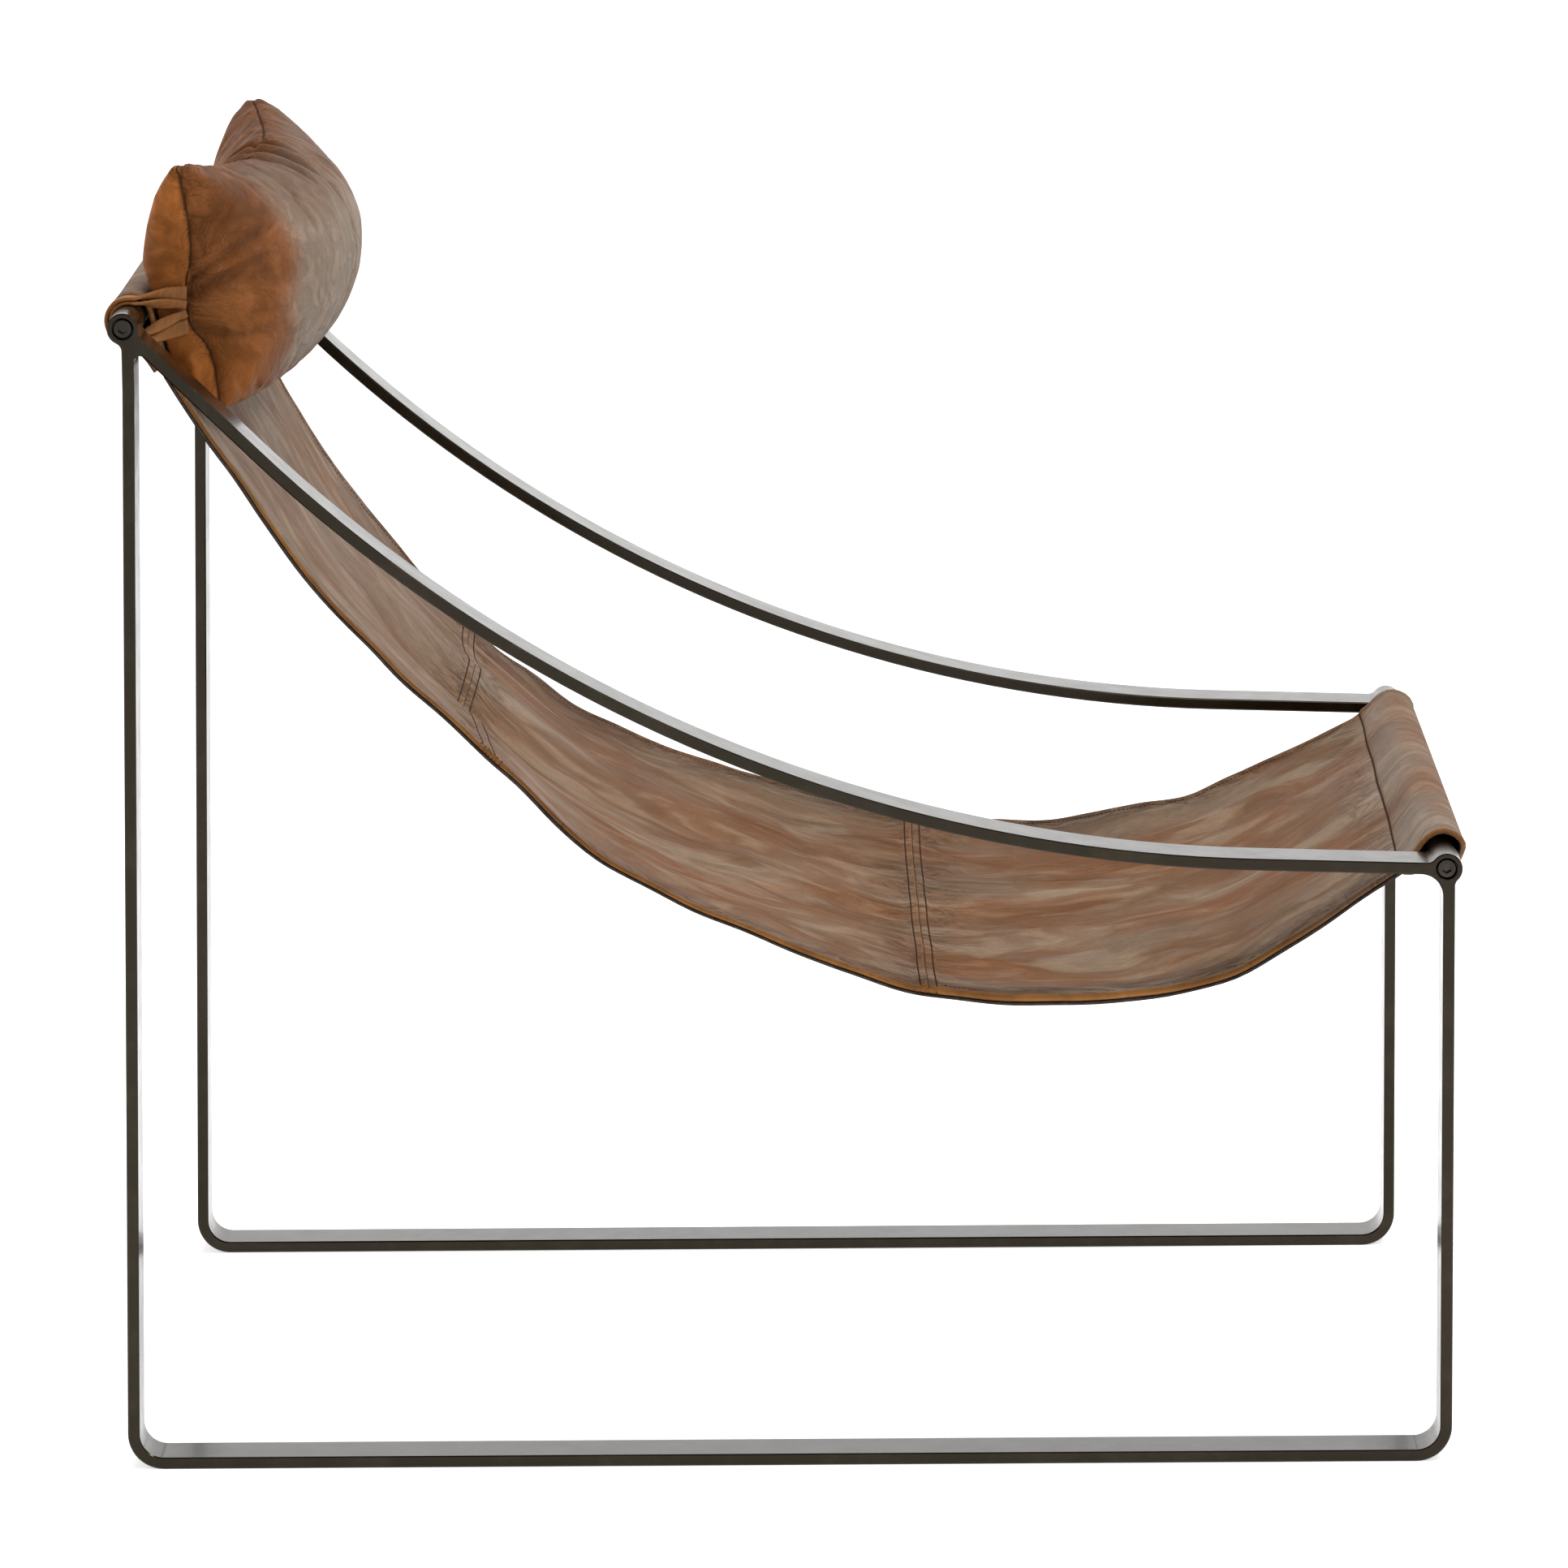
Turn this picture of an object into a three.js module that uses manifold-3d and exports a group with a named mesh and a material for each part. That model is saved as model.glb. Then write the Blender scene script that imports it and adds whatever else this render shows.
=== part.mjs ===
// A lounge chair: a leather sling hung between two cross tubes, two flat-bar side frames and a head pillow.
// Millimetres. +X is the front, +Y the sitter's left, +Z up. The floor is z = 0, and x = 0 lies halfway
// between the two tubes.
import * as THREE from 'three';
import { mergeVertices } from 'three/addons/utils/BufferGeometryUtils.js';
import Module from 'manifold-3d';

const wasm = await Module();
wasm.setup();

// Driving sizes of the side frames
const TUBE_SPAN = 873;          // head tube axis to knee tube axis, back to front
const HEAD_HEIGHT = 774;        // head tube axis above the floor
const KNEE_HEIGHT = 406;        // knee tube axis above the floor
const FRAME_WIDTH = 660;        // outside to outside of the side frames
const BAR_WIDTH = 40;           // flat bar, across the chair
const BAR_THICK = 8;
const BAR_CHAMFER = 0.9;
const FLOOR_BEND = 24;          // outer radius of the bends at the floor
const REAR_LEG_SHIFT = 3;       // both legs stand a little in front of their tube
const FRONT_LEG_SHIFT = 1.5;
const REAR_LEG_RAKE = 1;        // degrees, the foot of the rear leg stands behind its top
const REAR_LEG_UPRIGHT = 3;     // upright run of the rear leg under its weld
const ARM_FLAT = 130;           // straight run of the arm behind the knee tube
const ARM_STRAIGHT = 120;       // straight run of the arm ahead of the head tube
const ARM_DIP = 1.8;            // degrees, how much the arm still falls where it meets the knee tube

// Driving sizes of the eyes, tubes and screws
const EYE_RADIUS = 10.5;
const EYE_FILLET = 6;           // where a bar runs into the round of an eye
const HEAD_CROTCH = 4;          // fillet between leg and arm under the head tube
const KNEE_CROTCH = 15;         // fillet between leg and arm under the knee tube
const EYE_REACH = 38;           // eye centre to the weld with a bar
const TUBE_RADIUS = 10;
const TUBE_WALL = 2.5;
const PLUG_LENGTH = 36;
const SCREW_RADIUS = 4;
const SCREW_HEAD_RADIUS = 6.4;
const SCREW_HEAD = 8;
const SCREW_SOCKET = 6;         // across the flats
const SCREW_LENGTH = 60;
const SCREW_SINK = 2;           // head below the face of the eye
const RECESS_CLEARANCE = 0.6;   // round a screw head
const RECESS_CHAMFER = 0.6;
const RUN_CLEARANCE = 0.25;     // round a screw
const SEAT_GAP = 0.3;           // between pieces that are assembled
const WELD_GAP = 0.02;
const ROUND = 36;               // flats round every tube, plug, bore and screw

// Driving sizes of the sling
const LEATHER = 3.5;
const LINING = 3;
const HEAD_EDGE_GAP = 12;       // between an edge of the sling and the strap beside it
const KNEE_EDGE_GAP = 9;        // between an edge of the sling and the eye beside it
const SEAT_LOW_AHEAD = 255;     // lowest line of the seat, behind the knee tube
const SEAT_LOW_HEIGHT = 315;
const BACK_PITCH = 57.8;        // degrees below level where the sling leaves the head sleeve
const KNEE_PITCH = 31.3;        // degrees above level where it meets the knee sleeve
const HEAD_SLEEVE = 44;         // tube axis to the sleeve's stitch line
const KNEE_SLEEVE = 24.5;
const HEAD_OFFSET = -2.5;       // stitch line above the line through the tube axis
const KNEE_OFFSET = 6.6;
const SLEEVE_TAIL = 12;         // hem past the stitch line
const BACK_HANDLE = 69;         // stiffness of the curve at its four ends
const LOW_REAR_HANDLE = 391;
const LOW_FRONT_HANDLE = 98;
const KNEE_HANDLE = 86;
const BACK_SEAM_SHARE = 0.4;    // places of the two cross seams, as shares of the back curve
const SEAT_SEAM_SHARE = 0.853;
const SLING_DISH = 6;           // sag of the middle below the long edges
const EDGE_WAVE = 3;            // ripple of the free edges
const EDGE_WAVE_COUNT = 3.5;

// Driving sizes of the head pillow and its straps
const PILLOW_END_GAP = 40;      // between an end of the pillow and the eye beside it
const PILLOW_HEIGHT = 170;
const PILLOW_FRONT = 60;        // crown of the front panel over the seam
const PILLOW_BACK = 53;
const PILLOW_LEAN = 12;         // degrees
const PILLOW_AHEAD = 48;        // middle of the end seam, ahead of and above the head tube axis
const PILLOW_ABOVE = 18;
const PILLOW_BOW = 20;          // the middle stands ahead of the strapped ends
const END_DRAW_SHARE = 0.04;    // sides pull in between the corners, as a share of the half size
const TOP_DRAW_SHARE = 0.2;
const PILLOW_LEATHER = 2;
const INSERT_CLEARANCE = 0.8;
const PILLOW_CELLS_LONG = 20;
const PILLOW_CELLS_HIGH = 12;
const STRAP_WIDTH = 14;
const STRAP_THICK = 5;
const STRAP_EYE_GAP = 3;        // between the loop and the eye beside it
const STRAP_PITCH = 8;          // upper and lower end, each this far from the middle of the seam
const STRAP_DROP = 7;           // that middle lies this far below the middle of the pillow

const HEAD = new THREE.Vector2(-TUBE_SPAN / 2, HEAD_HEIGHT);
const KNEE = new THREE.Vector2(TUBE_SPAN / 2, KNEE_HEIGHT);
const EYE_INNER = FRAME_WIDTH / 2 - BAR_WIDTH;
const BAR_MIDDLE = FRAME_WIDTH / 2 - BAR_WIDTH / 2;
const TUBE_HALF = EYE_INNER - SEAT_GAP;
const SCREW_SEAT = FRAME_WIDTH / 2 - SCREW_SINK - SCREW_HEAD;
const SLING_HEAD_HALF = EYE_INNER - STRAP_EYE_GAP - STRAP_WIDTH - HEAD_EDGE_GAP;
const SLING_KNEE_HALF = EYE_INNER - KNEE_EDGE_GAP;
const PILLOW_LENGTH = 2 * (EYE_INNER - PILLOW_END_GAP);

const METAL = new THREE.MeshStandardMaterial({ color: 0x45423d, metalness: 0.9, roughness: 0.45 });
const SCREW_STEEL = new THREE.MeshStandardMaterial({ color: 0x2f2d2b, metalness: 0.9, roughness: 0.4 });
const PLUG_STEEL = new THREE.MeshStandardMaterial({ color: 0x8d8f91, metalness: 0.9, roughness: 0.5 });
const HIDE = new THREE.MeshStandardMaterial({ color: 0x8a6248, roughness: 0.6 });
const LINING_HIDE = new THREE.MeshStandardMaterial({ color: 0x3a302a, roughness: 0.8 });
const FILLING = new THREE.MeshStandardMaterial({ color: 0xd8d0c0, roughness: 0.95 });

const chair = new THREE.Group();
chair.name = 'sling_lounge_chair';

function add(name, geometry, material) {
  const mesh = new THREE.Mesh(geometry, material);
  mesh.name = name;
  chair.add(mesh);
}

// A closed mesh from points and faces, turned so that its faces look out.
function closedMesh(points, triangles) {
  let volume = 0;
  for (const [a, b, c] of triangles) {
    volume += points[a].dot(points[b].clone().cross(points[c]));
  }
  const index = triangles.flatMap(([a, b, c]) => (volume > 0 ? [a, b, c] : [a, c, b]));
  const geometry = new THREE.BufferGeometry();
  geometry.setAttribute('position', new THREE.Float32BufferAttribute(points.flatMap((p) => p.toArray()), 3));
  geometry.setIndex(index);
  geometry.computeVertexNormals();
  return geometry;
}

// A solid through a row of convex rings that all have the same number of points.
function loft(rings) {
  const count = rings[0].length;
  const points = rings.flat();
  const triangles = [];
  for (let r = 0; r + 1 < rings.length; r++) {
    for (let i = 0; i < count; i++) {
      const a = r * count + i;
      const b = r * count + ((i + 1) % count);
      triangles.push([a, b, b + count], [a, b + count, a + count]);
    }
  }
  const last = (rings.length - 1) * count;
  for (let i = 1; i + 1 < count; i++) {
    triangles.push([0, i + 1, i], [last, last + i, last + i + 1]);
  }
  return closedMesh(points, triangles);
}

// A sheet with two faces given as grids of points, closed round its four edges.
function sheet(outer, inner) {
  const rows = outer.length;
  const columns = outer[0].length;
  const points = [...outer.flat(), ...inner.flat()];
  const at = (face, r, c) => face * rows * columns + r * columns + c;
  const triangles = [];
  const quad = (a, b, c, d) => triangles.push([a, b, c], [a, c, d]);
  for (let r = 0; r + 1 < rows; r++) {
    for (let c = 0; c + 1 < columns; c++) {
      quad(at(0, r, c), at(0, r + 1, c), at(0, r + 1, c + 1), at(0, r, c + 1));
      quad(at(1, r, c), at(1, r, c + 1), at(1, r + 1, c + 1), at(1, r + 1, c));
    }
  }
  for (let r = 0; r + 1 < rows; r++) {
    quad(at(0, r, 0), at(1, r, 0), at(1, r + 1, 0), at(0, r + 1, 0));
    quad(at(0, r, columns - 1), at(0, r + 1, columns - 1), at(1, r + 1, columns - 1), at(1, r, columns - 1));
  }
  for (let c = 0; c + 1 < columns; c++) {
    quad(at(0, 0, c), at(0, 0, c + 1), at(1, 0, c + 1), at(1, 0, c));
    quad(at(0, rows - 1, c), at(1, rows - 1, c), at(1, rows - 1, c + 1), at(0, rows - 1, c + 1));
  }
  return closedMesh(points, triangles);
}

function manifold(geometry) {
  const plain = new THREE.BufferGeometry();
  plain.setAttribute('position', geometry.getAttribute('position').clone());
  plain.setIndex(geometry.index);
  const merged = mergeVertices(plain, 1e-4);
  const vertProperties = new Float32Array(merged.getAttribute('position').array);
  const triVerts = new Uint32Array(merged.index.array);
  return new wasm.Manifold(new wasm.Mesh({ numProp: 3, vertProperties, triVerts }));
}

function cut(geometry, tools) {
  let solid = manifold(geometry);
  for (const tool of tools) {
    solid = solid.subtract(manifold(tool));
  }
  const mesh = solid.getMesh();
  const result = new THREE.BufferGeometry();
  result.setAttribute('position', new THREE.Float32BufferAttribute(mesh.vertProperties, 3));
  result.setIndex(Array.from(mesh.triVerts));
  result.computeVertexNormals();
  return result;
}

// The point where a line from p touches a circle; side +1 or -1 picks one of the two.
function tangentPoint(p, centre, radius, side) {
  const away = p.clone().sub(centre);
  const angle = away.angle() + side * Math.acos(radius / away.length());
  return new THREE.Vector2(Math.cos(angle), Math.sin(angle)).multiplyScalar(radius).add(centre);
}

// Points along a path, without the repeats where two of its curves meet.
function pathPoints(path, divisions) {
  const points = path.getPoints(divisions);
  return points.filter((p, i) => i === 0 || p.distanceTo(points[i - 1]) > 1e-6);
}

// Points with the normal to their left, mitred so that offsets keep their distance.
function withNormals(points) {
  const left = (a, b) => new THREE.Vector2(a.y - b.y, b.x - a.x).normalize();
  return points.map((p, i) => {
    const before = i > 0 ? left(points[i - 1], p) : left(p, points[i + 1]);
    const after = i + 1 < points.length ? left(p, points[i + 1]) : before;
    const normal = before.clone().add(after).divideScalar(1 + before.dot(after));
    return { p, normal };
  });
}

function barSection(width, thick, chamfer) {
  const a = thick / 2;
  const b = width / 2;
  return [
    [-a, chamfer - b], [chamfer - a, -b], [a - chamfer, -b], [a, chamfer - b],
    [a, b - chamfer], [a - chamfer, b], [chamfer - a, b], [-a, b - chamfer],
  ];
}

// A flat bar whose middle line follows a path in the XZ plane.
function flatBar(path, y) {
  const section = barSection(BAR_WIDTH, BAR_THICK, BAR_CHAMFER);
  const rings = withNormals(path).map(({ p, normal }) =>
    section.map(([out, across]) => new THREE.Vector3(p.x + normal.x * out, y + across, p.y + normal.y * out)));
  return loft(rings);
}

// Side frames

const REAR_LEG = HEAD.x + REAR_LEG_SHIFT;
const FRONT_LEG = KNEE.x + FRONT_LEG_SHIFT;

// The arm's sweep touches its front run and its rear run at the same distance from where they would meet.
const DIP = THREE.MathUtils.degToRad(ARM_DIP);
const ARM_AHEAD = new THREE.Vector2(Math.cos(DIP), -Math.sin(DIP));
const ARM_UP = new THREE.Vector2(Math.sin(DIP), Math.cos(DIP));
const ARM_RUN = KNEE.clone().sub(HEAD).dot(ARM_AHEAD) - ARM_FLAT;
const ARM_RISE = HEAD.clone().sub(KNEE).dot(ARM_UP);
const ARM_TOUCH = (ARM_RUN ** 2 + ARM_RISE ** 2 - ARM_STRAIGHT ** 2) / (2 * (ARM_RUN + ARM_STRAIGHT));
const ARM_TURN = Math.atan2(ARM_RISE, ARM_RUN - ARM_TOUCH);
const ARM_SLOPE = ARM_TURN + DIP;
const ARM_BEND = ARM_TOUCH / Math.tan(ARM_TURN / 2);
const ARM_CENTRE = KNEE.clone().addScaledVector(ARM_AHEAD, -ARM_FLAT).addScaledVector(ARM_UP, ARM_BEND);

// The bent bar that is rear leg, floor rail and front leg in one.
function legPath() {
  const floor = BAR_THICK / 2;
  const bend = FLOOR_BEND - BAR_THICK / 2;
  const weld = HEAD_HEIGHT - EYE_REACH - WELD_GAP;
  const lean = weld - REAR_LEG_UPRIGHT;
  const rake = THREE.MathUtils.degToRad(REAR_LEG_RAKE);
  const rearBend = REAR_LEG + (bend - (lean - floor - bend) * Math.sin(rake)) / Math.cos(rake);
  const path = new THREE.Path();
  path.moveTo(REAR_LEG, weld);
  path.lineTo(REAR_LEG, lean);
  path.absarc(rearBend, floor + bend, bend, Math.PI - rake, Math.PI * 1.5, false);
  path.lineTo(FRONT_LEG - bend, floor);
  path.absarc(FRONT_LEG - bend, floor + bend, bend, -Math.PI / 2, 0, false);
  path.lineTo(FRONT_LEG, KNEE_HEIGHT - EYE_REACH - WELD_GAP);
  return pathPoints(path, 6);
}

function armPath() {
  const down = new THREE.Vector2(Math.cos(ARM_SLOPE), -Math.sin(ARM_SLOPE));
  const start = HEAD.clone().addScaledVector(down, EYE_REACH + WELD_GAP);
  const rear = HEAD.clone().addScaledVector(down, ARM_STRAIGHT);
  const path = new THREE.Path();
  path.moveTo(start.x, start.y);
  path.lineTo(rear.x, rear.y);
  path.absarc(ARM_CENTRE.x, ARM_CENTRE.y, ARM_BEND, Math.PI * 1.5 - ARM_SLOPE, Math.PI * 1.5 - DIP, false);
  const end = KNEE.clone().addScaledVector(ARM_AHEAD, -EYE_REACH - WELD_GAP);
  path.lineTo(end.x, end.y);
  return pathPoints(path, 20);
}

// Side view of an eye, with its stubs of leg and arm run together by fillets.
// u points to the arm's side, z up, and the tube axis is the origin.
function eyeOutline(slope, legShift, crotch) {
  const half = BAR_THICK / 2;
  const reach = EYE_REACH + 3 * BAR_CHAMFER;
  const along = new THREE.Vector2(Math.cos(slope), -Math.sin(slope));
  const up = new THREE.Vector2(Math.sin(slope), Math.cos(slope));
  const onArm = (distance, offset) => along.clone().multiplyScalar(distance).addScaledVector(up, offset);
  const inner = legShift + half;
  const outer = legShift - half;

  const meet = onArm((inner + half * Math.sin(slope)) / Math.cos(slope), -half);
  const crotchLength = crotch / Math.tan((Math.PI / 2 - slope) / 2);
  const crotchCentre = new THREE.Vector2(inner + crotch, meet.y - crotchLength);

  const far = EYE_RADIUS + EYE_FILLET;
  const topAlong = Math.sqrt(far ** 2 - (half + EYE_FILLET) ** 2);
  const topCentre = onArm(topAlong, half + EYE_FILLET);
  const backDrop = Math.sqrt(far ** 2 - (EYE_FILLET - outer) ** 2);
  const backCentre = new THREE.Vector2(outer - EYE_FILLET, -backDrop);

  const shape = new THREE.Shape();
  shape.moveTo(inner, -reach);
  shape.lineTo(inner, crotchCentre.y);
  shape.absarc(crotchCentre.x, crotchCentre.y, crotch, Math.PI, up.angle(), true);
  shape.lineTo(onArm(reach, -half).x, onArm(reach, -half).y);
  shape.lineTo(onArm(reach, half).x, onArm(reach, half).y);
  shape.absarc(topCentre.x, topCentre.y, EYE_FILLET, up.angle() + Math.PI, topCentre.angle() + Math.PI, true);
  shape.absarc(0, 0, EYE_RADIUS, topCentre.angle(), backCentre.angle(), false);
  shape.absarc(backCentre.x, backCentre.y, EYE_FILLET, backCentre.angle() - Math.PI, 0, true);
  shape.lineTo(outer, -reach);
  shape.closePath();
  return shape;
}

function cylinderAlongY(radius, from, to, segments = ROUND) {
  const geometry = new THREE.CylinderGeometry(radius, radius, Math.abs(to - from), segments);
  return geometry.translate(0, (from + to) / 2, 0);
}

// The eye of one corner: bored for its screw, and squared off at its two welds.
function eye(place, slope, legShift, crotch, forward, side) {
  const block = new THREE.ExtrudeGeometry(eyeOutline(slope, legShift, crotch), {
    depth: BAR_WIDTH - 2 * BAR_CHAMFER,
    bevelThickness: BAR_CHAMFER,
    bevelSize: BAR_CHAMFER,
    bevelOffset: -BAR_CHAMFER,
    bevelSegments: 1,
    curveSegments: 10,
  });
  block.rotateX(Math.PI / 2).translate(0, BAR_WIDTH / 2 - BAR_CHAMFER, 0);
  const spare = 20;
  const legTrim = new THREE.BoxGeometry(4 * BAR_THICK, 2 * BAR_WIDTH, spare);
  legTrim.translate(legShift, 0, -EYE_REACH - spare / 2);
  const armTrim = new THREE.BoxGeometry(spare, 2 * BAR_WIDTH, 4 * BAR_THICK);
  armTrim.translate(EYE_REACH + spare / 2, 0, 0).rotateY(slope);
  const turn = forward > 0 ? 0 : Math.PI;
  const tools = [legTrim, armTrim].map((tool) => tool.rotateZ(turn));
  block.rotateZ(turn);

  const face = side * (BAR_WIDTH / 2);
  const seat = face - side * (SCREW_SINK + SCREW_HEAD);
  const recess = SCREW_HEAD_RADIUS + RECESS_CLEARANCE;
  const mouth = new THREE.CylinderGeometry(recess + 2 * RECESS_CHAMFER, recess, 2 * RECESS_CHAMFER, ROUND);
  tools.push(mouth.rotateX(side > 0 ? 0 : Math.PI).translate(0, face, 0));
  tools.push(cylinderAlongY(recess, seat, face + side));
  tools.push(cylinderAlongY(SCREW_RADIUS + RUN_CLEARANCE, -face - side, seat + side));
  return cut(block, tools).translate(place.x, side * BAR_MIDDLE, place.y);
}

// Tubes, plugs and screws

function ring(inner, outer, from, to) {
  const profile = [[inner, from], [outer, from], [outer, to], [inner, to], [inner, from]];
  return new THREE.LatheGeometry(profile.map(([r, y]) => new THREE.Vector2(r, y)), ROUND);
}

function crossTube(place) {
  return ring(TUBE_RADIUS - TUBE_WALL, TUBE_RADIUS, -TUBE_HALF, TUBE_HALF).translate(place.x, 0, place.y);
}

// A threaded plug, held in the end of a tube.
function plug(place, side) {
  const radius = TUBE_RADIUS - TUBE_WALL - WELD_GAP;
  const from = TUBE_HALF - PLUG_LENGTH;
  const geometry = ring(SCREW_RADIUS + RUN_CLEARANCE, radius, from, TUBE_HALF);
  return geometry.rotateX(side > 0 ? 0 : Math.PI).translate(place.x, 0, place.y);
}

// A socket head screw that passes the eye and enters the plug.
function screw(place, side) {
  const bevel = 0.6;
  const seat = SCREW_SEAT + WELD_GAP;
  const profile = [
    [0, seat - SCREW_LENGTH], [SCREW_RADIUS - bevel, seat - SCREW_LENGTH], [SCREW_RADIUS, seat - SCREW_LENGTH + bevel],
    [SCREW_RADIUS, seat], [SCREW_HEAD_RADIUS, seat], [SCREW_HEAD_RADIUS, seat + SCREW_HEAD - bevel],
    [SCREW_HEAD_RADIUS - bevel, seat + SCREW_HEAD], [0, seat + SCREW_HEAD],
  ];
  const body = new THREE.LatheGeometry(profile.map(([r, y]) => new THREE.Vector2(r, y)), ROUND);
  const corner = SCREW_SOCKET / Math.sqrt(3);
  const socket = cylinderAlongY(corner, seat + SCREW_HEAD / 2, seat + SCREW_HEAD + 1, 6);
  return cut(body, [socket]).rotateX(side > 0 ? 0 : Math.PI).translate(place.x, 0, place.y);
}

// Sling: every station of its side view has a place, a normal on the leather's side and a share of the sag.

const SLEEVE_RADIUS = TUBE_RADIUS + SEAT_GAP + LINING + SEAT_GAP / 2;

function along(angle) {
  return new THREE.Vector2(Math.cos(angle), Math.sin(angle));
}

function slingCurves() {
  const backWay = along(THREE.MathUtils.degToRad(-BACK_PITCH));
  const kneeWay = along(THREE.MathUtils.degToRad(KNEE_PITCH));
  const square = (way) => new THREE.Vector2(-way.y, way.x);
  const low = new THREE.Vector2(KNEE.x - SEAT_LOW_AHEAD, SEAT_LOW_HEIGHT);
  const top = HEAD.clone().addScaledVector(backWay, HEAD_SLEEVE).addScaledVector(square(backWay), HEAD_OFFSET);
  const lip = KNEE.clone().addScaledVector(kneeWay, -KNEE_SLEEVE).addScaledVector(square(kneeWay), KNEE_OFFSET);
  const back = new THREE.CubicBezierCurve(
    top, top.clone().addScaledVector(backWay, BACK_HANDLE), low.clone().setX(low.x - LOW_REAR_HANDLE), low);
  const seat = new THREE.CubicBezierCurve(
    low, low.clone().setX(low.x + LOW_FRONT_HANDLE), lip.clone().addScaledVector(kneeWay, -KNEE_HANDLE), lip);
  return { back, seat, backWay, kneeWay, top, lip };
}

// From the stitch line over a tube and back under the sling, ending past the stitch line.
function sleeveWrap(centre, stitch, way, upperSide) {
  const below = stitch.clone().addScaledVector(new THREE.Vector2(way.y, -way.x), LINING + 2 * SEAT_GAP);
  const upper = tangentPoint(stitch, centre, SLEEVE_RADIUS, upperSide);
  const under = tangentPoint(below, centre, SLEEVE_RADIUS, -upperSide);
  const from = upper.clone().sub(centre).angle();
  const to = under.clone().sub(centre).angle();
  const path = new THREE.Path();
  path.absarc(centre.x, centre.y, SLEEVE_RADIUS, from, to, upperSide < 0);
  const tail = below.clone().addScaledVector(way, upperSide < 0 ? -SLEEVE_TAIL : SLEEVE_TAIL);
  return { wrap: pathPoints(path, 8), hem: [below, tail] };
}

function stretch(curve, from, to, count) {
  return Array.from({ length: count }, (_, i) => curve.getPoint(from + ((to - from) * (i + 1)) / count));
}

function slingStations() {
  const { back, seat, backWay, kneeWay, top, lip } = slingCurves();
  const head = sleeveWrap(HEAD, top, backWay, 1);
  const knee = sleeveWrap(KNEE, lip, kneeWay, -1);
  const headRun = [...head.hem.reverse(), ...head.wrap.reverse(), top];
  const backRun = stretch(back, 0, BACK_SEAM_SHARE, 10);
  const middleRun = stretch(back, BACK_SEAM_SHARE, SEAT_SEAM_SHARE, 12);
  const seatRun = [...stretch(back, SEAT_SEAM_SHARE, 1, 4), ...stretch(seat, 0, 1, 10)];
  const kneeRun = [...knee.wrap, ...knee.hem];
  const all = withNormals([...headRun, ...backRun, ...middleRun, ...seatRun, ...kneeRun]);
  const span = lip.x - top.x;
  const free = (i) => i >= headRun.length && i < all.length - kneeRun.length;
  const stations = all.map(({ p, normal }, i) => {
    const share = (p.x - top.x) / span;
    return { p, normal, share, sag: free(i) ? Math.sin(Math.PI * share) : 0 };
  });
  const backSeam = headRun.length + backRun.length - 1;
  const seatSeam = backSeam + middleRun.length;
  return { stations, backSeam, seatSeam, hem: head.hem.length };
}

// One layer of the sling between two stations and two distances from the line of the layers.
function slingLayer(stations, near, far) {
  const cells = 6;
  const face = (offset) => stations.map(({ p, normal, share, sag }) => {
    const half = THREE.MathUtils.lerp(SLING_HEAD_HALF, SLING_KNEE_HALF, THREE.MathUtils.clamp(share, 0, 1));
    return Array.from({ length: cells + 1 }, (_, i) => {
      const across = (2 * i) / cells - 1;
      const wave = EDGE_WAVE * across ** 2 * Math.sin(2 * Math.PI * EDGE_WAVE_COUNT * share);
      const lift = sag * (wave - SLING_DISH * (1 - across ** 2));
      return new THREE.Vector3(p.x + normal.x * offset, half * across, p.y + normal.y * offset + lift);
    });
  });
  return sheet(face(far), face(near));
}

function addSling() {
  const { stations, backSeam, seatSeam, hem } = slingStations();
  const gap = SEAT_GAP / 2;
  const leather = (from, to) => slingLayer(stations.slice(from, to), gap, gap + LEATHER);
  add('sling_back_panel', leather(0, backSeam + 1), HIDE);
  add('sling_middle_panel', leather(backSeam, seatSeam + 1), HIDE);
  add('sling_seat_panel', leather(seatSeam, stations.length), HIDE);
  const lined = stations.slice(hem, stations.length - hem);
  add('sling_lining', slingLayer(lined, -gap - LINING, -gap), LINING_HIDE);
}

// Head pillow

const LEAN = THREE.MathUtils.degToRad(PILLOW_LEAN);
const PILLOW_UP = new THREE.Vector3(-Math.sin(LEAN), 0, Math.cos(LEAN));
const PILLOW_OUT = new THREE.Vector3(Math.cos(LEAN), 0, Math.sin(LEAN));
const PILLOW_MIDDLE = new THREE.Vector3(HEAD.x + PILLOW_AHEAD, 0, HEAD.y + PILLOW_ABOVE);

// A point on the pillow: u runs along it and v up it, each -1 to 1; crown is the height over the seam.
function pillowPoint(u, v, crown, rim, inset) {
  const long = (PILLOW_LENGTH / 2 - inset) * u * (1 - END_DRAW_SHARE * (1 - v * v));
  const high = (PILLOW_HEIGHT / 2 - inset) * v * (1 - TOP_DRAW_SHARE * (1 - u * u) * (1 + v) / 2);
  const full = Math.max(0, 1 - u * u) ** 0.27 * Math.max(0, 1 - v * v) ** 0.6;
  const bow = PILLOW_BOW * (1 - ((2 * long) / PILLOW_LENGTH) ** 2);
  const out = bow + rim + crown * full;
  const point = PILLOW_MIDDLE.clone().addScaledVector(PILLOW_UP, high).addScaledVector(PILLOW_OUT, out);
  return point.setY(long);
}

function pillowFace(crown, rim, inset) {
  const even = (i, cells) => Math.sin((Math.PI / 2) * ((2 * i) / cells - 1));
  return Array.from({ length: PILLOW_CELLS_LONG + 1 }, (_, i) =>
    Array.from({ length: PILLOW_CELLS_HIGH + 1 }, (_unused, j) =>
      pillowPoint(even(i, PILLOW_CELLS_LONG), even(j, PILLOW_CELLS_HIGH), crown, rim, inset)));
}

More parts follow.
